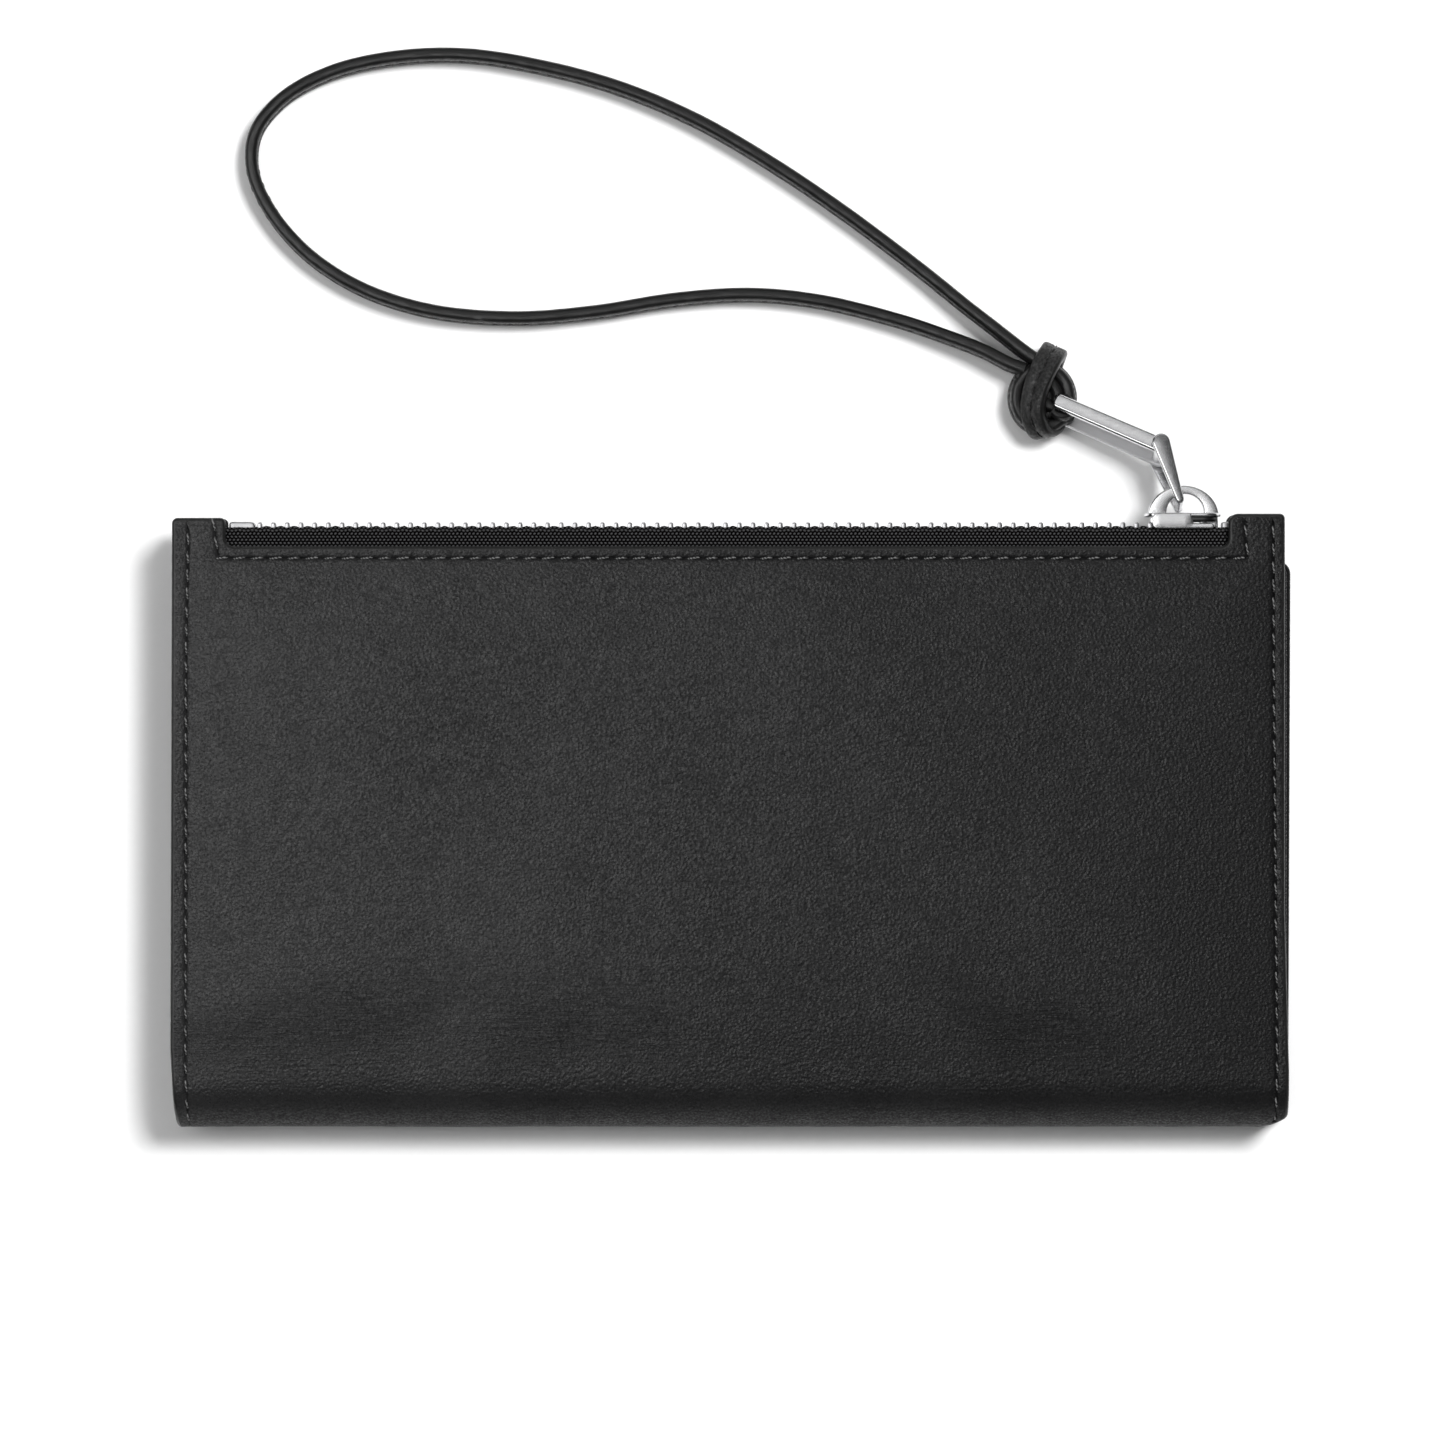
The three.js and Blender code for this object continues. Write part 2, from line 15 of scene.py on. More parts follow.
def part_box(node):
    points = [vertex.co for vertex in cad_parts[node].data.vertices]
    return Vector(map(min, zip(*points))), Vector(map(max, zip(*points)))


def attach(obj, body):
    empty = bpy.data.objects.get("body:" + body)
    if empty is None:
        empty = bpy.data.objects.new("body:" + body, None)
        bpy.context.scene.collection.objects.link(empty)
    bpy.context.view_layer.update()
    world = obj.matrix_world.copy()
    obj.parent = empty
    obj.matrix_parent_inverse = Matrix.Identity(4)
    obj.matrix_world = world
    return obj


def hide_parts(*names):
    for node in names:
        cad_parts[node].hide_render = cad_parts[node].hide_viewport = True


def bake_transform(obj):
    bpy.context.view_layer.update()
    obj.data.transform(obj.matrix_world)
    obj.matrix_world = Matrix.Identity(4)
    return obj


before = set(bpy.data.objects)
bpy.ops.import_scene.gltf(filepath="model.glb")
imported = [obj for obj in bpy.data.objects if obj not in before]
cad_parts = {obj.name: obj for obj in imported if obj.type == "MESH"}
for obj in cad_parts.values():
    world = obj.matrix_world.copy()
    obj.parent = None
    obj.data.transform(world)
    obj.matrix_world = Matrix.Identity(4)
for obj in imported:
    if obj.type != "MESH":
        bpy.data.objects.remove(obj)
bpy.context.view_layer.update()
scene = bpy.context.scene

MM = 0.001


def node_box(name):
    """Lowest and highest corner of a CAD node, in millimetres."""
    return [np.array(corner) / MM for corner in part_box(name)]


# ---- Sizes that the CAD model gives ----

FRONT_LOW, FRONT_HIGH = node_box("front_leather_panel")
REAR_LOW, REAR_HIGH = node_box("rear_cover_leather")
TOP = FRONT_HIGH[2]
LEATHER = TOP - FRONT_LOW[2]
FOLD_Z = TOP / 2                                  # middle of the fold, and of the closed wallet
FOLD_Y = node_box("fold_leather")[1][1]           # where the fold starts
FOLD_RADIUS = FOLD_Z - LEATHER / 2                # to the middle of the leather
BAG_LOW, BAG_HIGH = node_box("pocket_lining_bag")
ZIP_Z = (BAG_LOW[2] + BAG_HIGH[2]) / 2

# The strap's route, as in the CAD source
STRAP_ROUTE = [
    (51.7, 68.1, 4.7), (46.6, 72.1, 4.3), (41.0, 76.5, 3.6), (33.5, 82.6, 2.9), (19.7, 93.0, 2.6),
    (6.5, 101.9, 2.6), (-7.0, 109.7, 2.6), (-20.5, 115.4, 2.6), (-34.0, 119.1, 2.6),
    (-48.0, 121.3, 2.6), (-60.8, 120.9, 2.6), (-72.5, 118.2, 2.6), (-81.0, 113.5, 2.6),
    (-85.8, 107.5, 2.6), (-86.4, 101.0, 2.6), (-83.3, 93.6, 2.6), (-76.6, 85.8, 2.6),
    (-67.0, 79.6, 2.6), (-54.5, 75.6, 2.6), (-39.0, 74.3, 2.6), (-25.0, 75.4, 2.6),
    (-11.0, 77.6, 2.6), (2.0, 78.5, 2.6), (14.5, 77.4, 2.6), (28.7, 74.0, 2.9), (37.6, 71.0, 3.6),
    (44.0, 68.5, 4.3), (49.1, 65.9, 4.7),
]
STRAP_WIDTH = 4.8
STRAP_THICKNESS = 2.2

STITCH_PITCH = 3.2                                # 8 stitches to the inch
STRAP_STITCH_PITCH = 2.7
STRAP_STITCH_LENGTH = 1.7
TWILL_PITCH = 0.45


# ---- Shader nodes ----

def add_node(tree, kind, inputs=None, **settings):
    """A shader node whose inputs are values or other nodes' outputs."""
    made = tree.nodes.new("ShaderNode" + kind)
    for key, value in settings.items():
        setattr(made, key, value)
    for key, value in (inputs or {}).items():
        socket = made.inputs[key]
        if isinstance(value, bpy.types.NodeSocket):
            tree.links.new(value, socket)
        else:
            socket.default_value = value
    return made


def calc(tree, operation, *values, clamp=False):
    """The output of a math node."""
    inputs = dict(enumerate(values))
    return add_node(tree, "Math", inputs, operation=operation, use_clamp=clamp).outputs[0]


def plus(tree, first, second):
    return calc(tree, "ADD", first, second)


def times(tree, first, second):
    return calc(tree, "MULTIPLY", first, second)


def ramp(tree, value, low, high, out_low=0.0, out_high=1.0):
    """value, stretched from low..high to out_low..out_high and kept inside it."""
    inputs = {0: value, 1: low, 2: high, 3: out_low, 4: out_high}
    return add_node(tree, "MapRange", inputs).outputs[0]


def blend_colour(tree, share, first, second):
    """The first colour where the share is 0, and the second where it is 1."""
    made = add_node(tree, "Mix", {0: share}, data_type="RGBA")
    for socket, value in ((made.inputs[6], first), (made.inputs[7], second)):
        if isinstance(value, bpy.types.NodeSocket):
            tree.links.new(value, socket)
        else:
            socket.default_value = (*value, 1)
    return made.outputs[2]


def stretched(tree, place, scale):
    """Coordinates with their own scale along each axis."""
    return add_node(tree, "Mapping", {"Vector": place, "Scale": scale}).outputs[0]


def noise_at(tree, place, scale, detail=2.0, roughness=0.5):
    """Noise from 0 to 1."""
    inputs = {"Vector": place, "Scale": scale, "Detail": detail, "Roughness": roughness}
    return add_node(tree, "TexNoise", inputs).outputs["Fac"]


def new_material(name):
    """A material, its node tree, its shader and where each point lay, in millimetres, before any
    bending."""
    material = bpy.data.materials.new(name)
    material.use_nodes = True
    tree = material.node_tree
    shader = tree.nodes["Principled BSDF"]
    place = add_node(tree, "Attribute", attribute_name="place").outputs["Vector"]
    return material, tree, shader, place


def grey(level):
    """A neutral colour."""
    return (level, level, level)


def set_colour(tree, shader, share, dark, light):
    """Base colour that goes from dark to light with the share."""
    tree.links.new(blend_colour(tree, share, dark, light), shader.inputs["Base Color"])


def set_roughness(tree, shader, value, low, high, smooth, rough):
    """Roughness that goes from smooth to rough as value goes from low to high."""
    tree.links.new(ramp(tree, value, low, high, smooth, rough), shader.inputs["Roughness"])


def set_bump(tree, shader, height, depth):
    """Bump with that depth in millimetres."""
    bump = add_node(tree, "Bump", {"Height": height, "Distance": depth * MM})
    tree.links.new(bump.outputs[0], shader.inputs["Normal"])


def leather_material(name, dark, light, roughness=0.5, grain=0.12, creases=False):
    """Smooth full-grain leather with a fine pebble of depth grain and a cloudy tone. With creases,
    it is the outer leather: creased beside the fold, matt round it, and painted lighter at the left
    and darker at the right as painted light falling from the left."""
    material, tree, shader, place = new_material(name)
    cells = add_node(tree, "TexVoronoi", {
        "Vector": place, "Scale": 1.9, "Smoothness": 0.7, "Randomness": 1.0,
    }, feature="SMOOTH_F1").outputs["Distance"]
    pores = noise_at(tree, place, 3.1, 3.0, 0.6)
    height = plus(tree, times(tree, cells, 0.9), times(tree, pores, 0.7))
    height = plus(tree, height, times(tree, noise_at(tree, place, 1.3), 0.35))
    clouds = noise_at(tree, place, 0.022, 3.0, 0.55)
    streaks = noise_at(tree, stretched(tree, place, (0.05, 0.012, 0.05)), 1.0, 2.0)
    tone = plus(tree, times(tree, clouds, 0.65), times(tree, streaks, 0.35))
    tone = ramp(tree, tone, 0.32, 0.68)
    worn = noise_at(tree, place, 0.35, 4.0, 0.6)
    grains = noise_at(tree, place, 2.5, 1.5, 0.6)
    matt = plus(tree, ramp(tree, worn, 0.3, 0.7, roughness - 0.06, roughness + 0.08),
                ramp(tree, grains, 0.36, 0.64, 0.15, -0.13))
    if creases:
        x, s, _ = add_node(tree, "SeparateXYZ", {0: place}).outputs
        # Painted light: the tone rises towards the left and falls towards the right, a painted
        # gradient of the light across the wallet.
        side = ramp(tree, x, -95.0, 95.0, 0.42, -0.42)
        tone = calc(tree, "ADD", times(tree, tone, 0.75), side, clamp=True)
        lines = noise_at(tree, stretched(tree, place, (0.10, 1.15, 1.0)), 1.0, 4.0, 0.62)
        ridges = calc(tree, "ABSOLUTE", calc(tree, "SUBTRACT", lines, 0.5))
        ridges = calc(tree, "POWER", ridges, 0.7)
        beside_fold = times(tree, ramp(tree, s, -2.0, 8.0), ramp(tree, s, 26.0, 12.0))
        patches = ramp(tree, noise_at(tree, place, 0.03, 1.0), 0.40, 0.58)
        ridges = times(tree, ridges, times(tree, beside_fold, patches))
        height = plus(tree, height, times(tree, ridges, 2.2))
        matt = plus(tree, matt, ramp(tree, s, -9.0, -2.0, 0.35, 0.0))
    speck = ramp(tree, grains, 0.34, 0.66, -0.50, 0.50)
    set_colour(tree, shader, calc(tree, "ADD", tone, speck, clamp=True), dark, light)
    tree.links.new(matt, shader.inputs["Roughness"])
    shader.inputs["Specular IOR Level"].default_value = 0.42
    set_bump(tree, shader, height, grain)
    return material


def edge_paint_material(name, level, roughness):
    """Burnished, painted leather edge with a slightly uneven surface."""
    material, tree, shader, place = new_material(name)
    uneven = noise_at(tree, stretched(tree, place, (0.6, 0.6, 2.5)), 1.0, 3.0)
    set_colour(tree, shader, uneven, grey(level * 0.75), grey(level * 1.25))
    set_roughness(tree, shader, uneven, 0.3, 0.7, roughness - 0.06, roughness + 0.1)
    set_bump(tree, shader, uneven, 0.06)
    return material


def cloth_material(name, dark, light):
    """Twill lining with its diagonal ribs."""
    material, tree, shader, place = new_material(name)
    turned = add_node(tree, "Mapping", {
        "Vector": place, "Rotation": (0.0, 0.0, math.radians(38)),
    }).outputs[0]
    ribs = add_node(tree, "TexWave", {
        "Vector": turned, "Scale": 1 / TWILL_PITCH / 3.2, "Distortion": 0.6, "Detail": 1.0,
        "Detail Scale": 3.0,
    }).outputs["Fac"]
    fuzz = noise_at(tree, place, 6.0, 2.0)
    height = plus(tree, ribs, times(tree, fuzz, 0.5))
    set_colour(tree, shader, ramp(tree, height, 0.2, 1.3), dark, light)
    set_roughness(tree, shader, fuzz, 0.3, 0.7, 0.77, 0.85)
    shader.inputs["Sheen Weight"].default_value = 0.25
    set_bump(tree, shader, height, 0.08)
    return material


def tape_material(name, gap, float_highlight_tone):
    """Zip tape, whose place holds the height of its weave as the last coordinate: the colour is
    painted light on the floats' tops as a painted highlight and near black in the gaps as painted
    shade."""
    material, tree, shader, place = new_material(name)
    height = add_node(tree, "SeparateXYZ", {0: place}).outputs[2]
    fibres = noise_at(tree, stretched(tree, place, (3.0, 9.0, 0.0)), 1.0, 2.0)
    # Painted highlight on the high floats and painted shade in the low gaps.
    share = times(tree, ramp(tree, height, 0.55, 1.0), ramp(tree, fibres, 0.3, 0.7, 0.55, 1.0))
    set_colour(tree, shader, share, gap, float_highlight_tone)
    set_roughness(tree, shader, share, 0.0, 1.0, 0.9, 0.55)
    shader.inputs["Specular IOR Level"].default_value = 0.04
    set_bump(tree, shader, fibres, 0.04)
    return material


def thread_material(name, dark, light):
    """Waxed thread: fine twisted plies, whose bands also paint a lighter colour along each ply as
    a painted highlight.
    """
    material, tree, shader, place = new_material(name)
    plies = add_node(tree, "TexWave", {
        "Vector": place, "Scale": 0.9, "Distortion": 1.5, "Detail": 2.0,
    }, bands_direction="DIAGONAL").outputs["Fac"]
    # The light colour along the plies is a painted highlight; the dark colour is the thread's own.
    set_colour(tree, shader, plies, dark, light)
    set_roughness(tree, shader, plies, 0.0, 1.0, 0.42, 0.6)
    set_bump(tree, shader, plies, 0.06)
    return material


def metal_material(name, colour, roughness):
    """Polished plated metal with faint polishing marks."""
    material, tree, shader, place = new_material(name)
    marks = noise_at(tree, stretched(tree, place, (0.5, 2.2, 2.2)), 1.0, 3.0)
    set_colour(tree, shader, noise_at(tree, place, 0.6, 2.0), [c * 0.93 for c in colour], colour)
    set_roughness(tree, shader, marks, 0.3, 0.7, roughness - 0.03, roughness + 0.05)
    shader.inputs["Metallic"].default_value = 1.0
    set_bump(tree, shader, marks, 0.004)
    return material


OUTER = leather_material("black_outer_leather", (0.0035, 0.0035, 0.0037), (0.015, 0.015, 0.0153),
                         roughness=0.36, creases=True)
INNER = leather_material("black_inner_leather", grey(0.008), grey(0.018), 0.55, grain=0.035)
STRAP = leather_material("black_strap_leather", grey(0.008), grey(0.026), grain=0.08)
EDGE = edge_paint_material("black_edge_paint", 0.008, 0.38)
STRAP_EDGE = edge_paint_material("black_strap_edge", 0.006, 0.36)
CLOTH = cloth_material("black_twill_lining", (0.0132, 0.0132, 0.0144), (0.022, 0.022, 0.024))
# Near-black painted shade for the weave's gaps, and a grey painted highlight for its floats.
TAPE = tape_material("black_zip_tape", grey(0.0008), (0.085, 0.085, 0.087))
# The wallet's thread: dark, with a grey painted highlight along its plies.
THREAD = thread_material("black_thread", grey(0.014), grey(0.16))
# A darker copy of the thread: painted shade for the strap's stitches, which sit in the strap's
# grooves.
PAINTED_SHADE_STRAP_THREAD = thread_material("strap_thread_painted_shade", grey(0.003), grey(0.014))
NICKEL = metal_material("polished_nickel", (0.78, 0.78, 0.79), 0.22)
TEETH = metal_material("tooth_nickel", (0.58, 0.58, 0.59), 0.34)
SATIN = metal_material("satin_nickel", (0.62, 0.62, 0.63), 0.42)
# Dark nickel for a block inside the slider: painted shade that darkens its throat.
PAINTED_SHADE_NICKEL = metal_material("painted_shade_nickel", grey(0.10), 0.35)


# ---- Meshes ----

def add_piece(name, points, faces, materials, body=None, nodes=(), slot=None, place=None,
              face_materials=None, sharp=38):
    """A mesh object from points in millimetres. place holds each point's coordinates before it was
    bent, which the materials read."""
    points = np.asarray(points, float)
    mesh = bpy.data.meshes.new(name)
    mesh.from_pydata((points * MM).tolist(), [], [list(map(int, face)) for face in faces])
    for material in materials if isinstance(materials, (list, tuple)) else [materials]:
        mesh.materials.append(material)
    if face_materials is not None:
        mesh.polygons.foreach_set("material_index", np.asarray(face_materials, np.int32))
    coordinates = points if place is None else np.asarray(place, float)
    layer = mesh.attributes.new("place", "FLOAT_VECTOR", "POINT")
    layer.data.foreach_set("vector", coordinates.astype(np.float32).ravel())
    mesh.shade_smooth()
    mesh.set_sharp_from_angle(angle=math.radians(sharp))
    mesh.update()
    piece = bpy.data.objects.new(name, mesh)
    scene.collection.objects.link(piece)
    if body:
        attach(piece, body)
    if nodes:
        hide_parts(*nodes)
    return piece


class Shell:
    """Points, faces and material numbers that several shapes add to, for one piece."""

    def __init__(self):
        self.points, self.places, self.faces, self.kinds = [], [], [], []

    def add(self, points, faces, kinds=0, place=None):
        start = len(self.points)
        self.points.extend(np.asarray(points, float).tolist())
        self.places.extend(np.asarray(points if place is None else place, float).tolist())
        self.faces.extend([[start + index for index in face] for face in faces])
        self.kinds.extend([kinds] * len(faces) if isinstance(kinds, int) else list(kinds))

    def piece(self, name, materials, **settings):
        return add_piece(name, self.points, self.faces, materials, place=self.places,
                         face_materials=self.kinds, **settings)


def outline(corners, step=2.0):
    """Closed outline through (x, y, radius) corners, with no side longer than step."""
    points = []
    for i, (x, y, radius) in enumerate(corners):
        corner = np.array((x, y), float)
        if radius == 0:
            points.append(corner)
            continue
        back = np.array(corners[i - 1][:2]) - corner
        ahead = np.array(corners[(i + 1) % len(corners)][:2]) - corner
        back, ahead = back / np.linalg.norm(back), ahead / np.linalg.norm(ahead)
        half = math.acos(np.clip(back @ ahead, -1, 1)) / 2
        middle = (back + ahead) / np.linalg.norm(back + ahead)
        centre = corner + middle * radius / math.sin(half)
        start = corner + back * radius / math.tan(half) - centre
        end = corner + ahead * radius / math.tan(half) - centre
        angle = math.atan2(start[1], start[0])
        turn = (math.atan2(end[1], end[0]) - angle + math.pi) % (2 * math.pi) - math.pi
        count = max(4, math.ceil(abs(turn) * radius / min(step, 0.25 + 0.1 * radius)))
        for k in range(count + 1):
            a = angle + turn * k / count
            points.append(centre + radius * np.array((math.cos(a), math.sin(a))))
    dense = []
    for point, following in zip(points, points[1:] + points[:1]):
        count = max(1, math.ceil(np.linalg.norm(following - point) / step))
        dense += [point + (following - point) * k / count for k in range(count)]
    return np.array(dense)


def polygon_area(loop):
    """Area inside the loop: positive when it runs anticlockwise."""
    ahead = np.roll(loop, -1, 0)
    return (loop[:, 0] * ahead[:, 1] - ahead[:, 0] * loop[:, 1]).sum() / 2


def unit(vectors):
    """The vectors, made one long."""
    return vectors / np.linalg.norm(vectors, axis=1, keepdims=True)


def lengths_along(line):
    """How far along the line each of its points is."""
    return np.concatenate([[0], np.cumsum(np.linalg.norm(np.diff(line, axis=0), axis=1))])


def read_off(where, marks, values):
    """The values at where, when they are given at the marks."""
    return np.column_stack([np.interp(where, marks, values[:, axis]) for axis in range(3)])


def axes_along(line, widths):
    """At each point of a line, the width's direction made square to it, and the third axis."""
    tangents = unit(np.gradient(line, axis=0))
    widths = unit(widths - (widths * tangents).sum(1)[:, None] * tangents)
    return widths, np.cross(tangents, widths)


def constant(vector, count):
    """The same vector at every point of a line."""
    return np.array([vector] * count)


def tube_faces(rings, size):
    """Faces between closed rings of size points each."""
    return [(i * size + k, i * size + (k + 1) % size,
             (i + 1) * size + (k + 1) % size, (i + 1) * size + k)
            for i in range(rings - 1) for k in range(size)]


def inset(loop, distance):
    """The loop moved to the left of its direction, into the material."""
    normals = []
    for side in (loop - np.roll(loop, 1, 0), np.roll(loop, -1, 0) - loop):
        side = unit(side)
        normals.append(np.stack([-side[:, 1], side[:, 0]], 1))
    normal = unit(normals[0] + normals[1])
    reach = distance / np.maximum(0.6, (normal * normals[0]).sum(1))
    return loop + normal * reach[:, None]


def inside(points, loop):
    """Which points lie inside the loop."""
    x, y = points[:, :1], points[:, 1:2]
    x0, y0 = loop[:, 0], loop[:, 1]
    x1, y1 = np.roll(x0, -1), np.roll(y0, -1)
    with np.errstate(divide="ignore", invalid="ignore"):
        crossing = (y0 > y) != (y1 > y)
        hits = crossing & (x < (x1 - x0) * (y - y0) / (y1 - y0) + x0)
    return hits.sum(1) % 2 == 1


def distance_to(points, line, closed=False):
    """Each point's distance to a line of straight sides, and how far along the line that is."""
    starts = line if closed else line[:-1]
    ends = np.roll(line, -1, 0) if closed else line[1:]
    best, along = np.full(len(points), 1e9), np.zeros(len(points))
    travelled = 0.0
    for start, end in zip(starts, ends):
        side = end - start
        length = np.linalg.norm(side)
        share = np.clip((points - start) @ side / length ** 2, 0, 1)
        gap = np.linalg.norm(points - start - share[:, None] * side, axis=1)
        nearer = gap < best
        best[nearer] = gap[nearer]
        along[nearer] = travelled + share[nearer] * length
        travelled += length
    return best, along


def fill(loops, extra):
    """Triangles over the area between the first loop and the others, with extra points in it."""
    points = np.vstack([*loops, extra]) if len(extra) else np.vstack(loops)
    edges, start = [], 0
    for loop in loops:
        edges += [(start + k, start + (k + 1) % len(loop)) for k in range(len(loop))]
        start += len(loop)
    found = geometry.delaunay_2d_cdt([Vector(p) for p in points.tolist()], edges, [], 0, 1e-6)
    original = [source[0] for source in found[3]]
    faces = np.array([[original[i] for i in face] for face in found[2]])
    corners = points[faces]
    a, b = corners[:, 1] - corners[:, 0], corners[:, 2] - corners[:, 0]
    area = a[:, 0] * b[:, 1] - a[:, 1] * b[:, 0]
    middles = corners.mean(1)
    keep = inside(middles, loops[0]) & (np.abs(area) > 1e-9)
    for hole in loops[1:]:
        keep &= ~inside(middles, hole)
    faces[area < 0] = faces[area < 0][:, ::-1]
    return faces[keep]


def slab(loops, low, high, edge, extra=(), steps=3, low_edge=None, hole_share=1.0):
    """A closed slab between two heights, with rounded edges. The first loop runs counter-clockwise
    and any holes clockwise. Returns points as (x, y, height), how far up each is from 0 to 1, the
    faces, and 1 for each face on the rounded sides and 0 for the rest."""
    shares = [1.0] + [hole_share] * (len(loops) - 1)
    low_edge = edge if low_edge is None else low_edge
    turns = [k * math.pi / 2 / steps for k in range(steps + 1)]
    profile = [(low_edge * (1 - math.cos(a)), low + low_edge * (1 - math.sin(a)))
               for a in reversed(turns)]
    profile += [(edge * (1 - math.cos(a)), high - edge * (1 - math.sin(a))) for a in turns]
    extra = np.asarray(extra, float).reshape(-1, 2)
    points, faces, sizes = [], [], [len(loop) for loop in loops]
    ring = sum(sizes)
    for back, height in profile:
        for loop, share in zip(loops, shares):
            points.append(np.column_stack([inset(loop, back * share), np.full(len(loop), height)]))
    count = len(profile) * ring
    for height in (low, high):
        points.append(np.column_stack([extra, np.full(len(extra), height)]))
    for level in range(len(profile) - 1):
        start = level * ring
        for size in sizes:
            for k in range(size):
                a, b = start + k, start + (k + 1) % size
                faces.append((a, b, b + ring, a + ring))
            start += size
    kinds = [1] * len(faces)
    for level, shift, turn in ((len(profile) - 1, len(extra), 1), (0, 0, -1)):
        back = profile[level][0]
        cap = fill([inset(loop, back * share) for loop, share in zip(loops, shares)], extra)
        moved = np.where(cap < ring, cap + level * ring, cap - ring + count + shift)[:, ::turn]
        faces += [tuple(face) for face in moved]
        kinds += [0] * len(moved)
    points = np.vstack(points)
    return points, (points[:, 2] - low) / (high - low), faces, kinds


def scatter(loop, lines=(), spacing=2.2, line_step=0.53, offsets=(0.0, 0.28, 0.6, 1.05, 1.7),
            margin=1.1):
    """Points over the loop's inside, denser beside the lines."""
    low, high = loop.min(0), loop.max(0)
    near = []
    for line in lines:
        for start, end in zip(line[:-1], line[1:]):
            side = end - start
            length = np.linalg.norm(side)
            across = np.array((-side[1], side[0])) / length
            count = max(1, round(length / line_step))
            for k in range(count + 1):
                for offset in offsets:
                    for sign in (1, -1) if offset else (1,):
                        near.append(start + side * k / count + across * offset * sign)
    grid = []
    rows = int((high[1] - low[1]) / (spacing * 0.87))
    for row in range(rows + 1):
        y = low[1] + (row + 0.5) * spacing * 0.87
        columns = int((high[0] - low[0]) / spacing)
        grid += [(low[0] + (column + 0.25 + 0.5 * (row % 2)) * spacing, y)
                 for column in range(columns + 1)]
    grid = np.array(grid)
    for line in lines:
        grid = grid[distance_to(grid, line)[0] > offsets[-1] + 0.5 * spacing]
    parts = [grid]
    if near:
        near = np.array(near)
        _, first = np.unique(np.round(near / 0.2).astype(int), axis=0, return_index=True)
        parts.append(near[np.sort(first)])
    points = np.vstack(parts)
    points = points[inside(points, loop)]
    return points[distance_to(points, loop, closed=True)[0] > margin]


def along_fold(points, side, middle):
    """Lays points (x, s, h) along the wallet's section. side is 1 for the front half and -1 for the
    rear. h is the distance outwards from a layer whose middle has that radius in the fold."""
    x, s, h = np.asarray(points, float).T
    angle = np.maximum(0, -s) / middle
    reach = middle + h
    y = FOLD_Y + np.maximum(0, s) - reach * np.sin(angle)
    z = FOLD_Z + side * reach * np.cos(angle)
    return np.column_stack([x, y, z])


def soft_noise(points, size, seed=0.0):
    """Smooth noise from -1 to 1 with that size in millimetres."""
    return np.array([noise.noise(Vector((x / size + seed, y / size, seed))) for x, y in points])


def sweep(points, widths, section):
    """A section of (across, up) points swept along a line. widths gives, at each point, the
    direction that the section's first coordinate takes. Returns points and faces."""
    points, section = np.asarray(points, float), np.asarray(section, float)
    widths, normals = axes_along(points, np.asarray(widths, float))
    count, size = len(points), len(section)
    rings = (points[:, None] + section[None, :, :1] * widths[:, None]
             + section[None, :, 1:] * normals[:, None])
    faces = tube_faces(count, size)
    faces += [tuple(range(size))[::-1], tuple(range((count - 1) * size, count * size))]
    return rings.reshape(-1, 3), faces


def smooth_line(points, step):
    """Points every step along a centripetal curve through the given ones."""
    points = [Vector(p) for p in points]
    ends = [points[0] * 2 - points[1]] + points + [points[-1] * 2 - points[-2]]
    dense = []
    for p0, p1, p2, p3 in zip(ends, ends[1:], ends[2:], ends[3:]):
        t1 = (p1 - p0).length ** 0.5
        t2 = t1 + (p2 - p1).length ** 0.5
        t3 = t2 + (p3 - p2).length ** 0.5
        count = max(2, math.ceil((p2 - p1).length / (step / 4)))
        for k in range(count):
            t = t1 + (t2 - t1) * k / count
            a1 = p0.lerp(p1, t / t1)
            a2 = p1.lerp(p2, (t - t1) / (t2 - t1))
            a3 = p2.lerp(p3, (t - t2) / (t3 - t2))
            b1 = a1.lerp(a2, t / t2)
            b2 = a2.lerp(a3, (t - t1) / (t3 - t1))
            dense.append(b1.lerp(b2, (t - t1) / (t2 - t1)))
    dense.append(points[-1])
    dense = np.array(dense)
    travelled = lengths_along(dense)
    count = max(2, round(travelled[-1] / step))
    return read_off(np.linspace(0, travelled[-1], count + 1), travelled, dense)


def add_stitches(shell, line, height, to_place, length=2.1, radius=0.2, slant=8.0, lift=0.0):
    """Thread segments along a line in (x, s), each slightly slanted, with ends that dip into the
    leather. height is the leather's surface, or gives it at points (x, s), and to_place lays the
    thread where the leather is."""
    sides = np.linalg.norm(np.diff(line, axis=0), axis=1)
    travelled = lengths_along(line)
    count = max(1, round(travelled[-1] / STITCH_PITCH))
    for k in range(count):
        where = (k + 0.5) * travelled[-1] / count
        i = min(int(np.searchsorted(travelled, where, side="right")) - 1, len(sides) - 1)
        direction = (line[i + 1] - line[i]) / sides[i]
        centre = line[i] + direction * (where - travelled[i])
        turn = math.radians(slant)
        direction = np.array((direction[0] * math.cos(turn) - direction[1] * math.sin(turn),
                              direction[0] * math.sin(turn) + direction[1] * math.cos(turn)))
        shares = np.array((-1.0, -0.82, -0.5, 0.0, 0.5, 0.82, 1.0))
        flat = centre + shares[:, None] * direction * length / 2
        base = height(flat) if callable(height) else np.full(len(flat), height)
        level = base.mean() + lift - (radius + lift + 0.22) * np.abs(shares) ** 3
        path = np.column_stack([flat, level])
        across = np.array([(-direction[1], direction[0], 0.0)] * len(path))
        section = [(math.cos(a) * radius, math.sin(a) * radius * 0.85)
                   for a in np.linspace(0, 2 * math.pi, 8, endpoint=False)]
        points, faces = sweep(path, across, section)
        shell.add(to_place(points), faces, 0, points)


# ---- Camera, light and floor ----

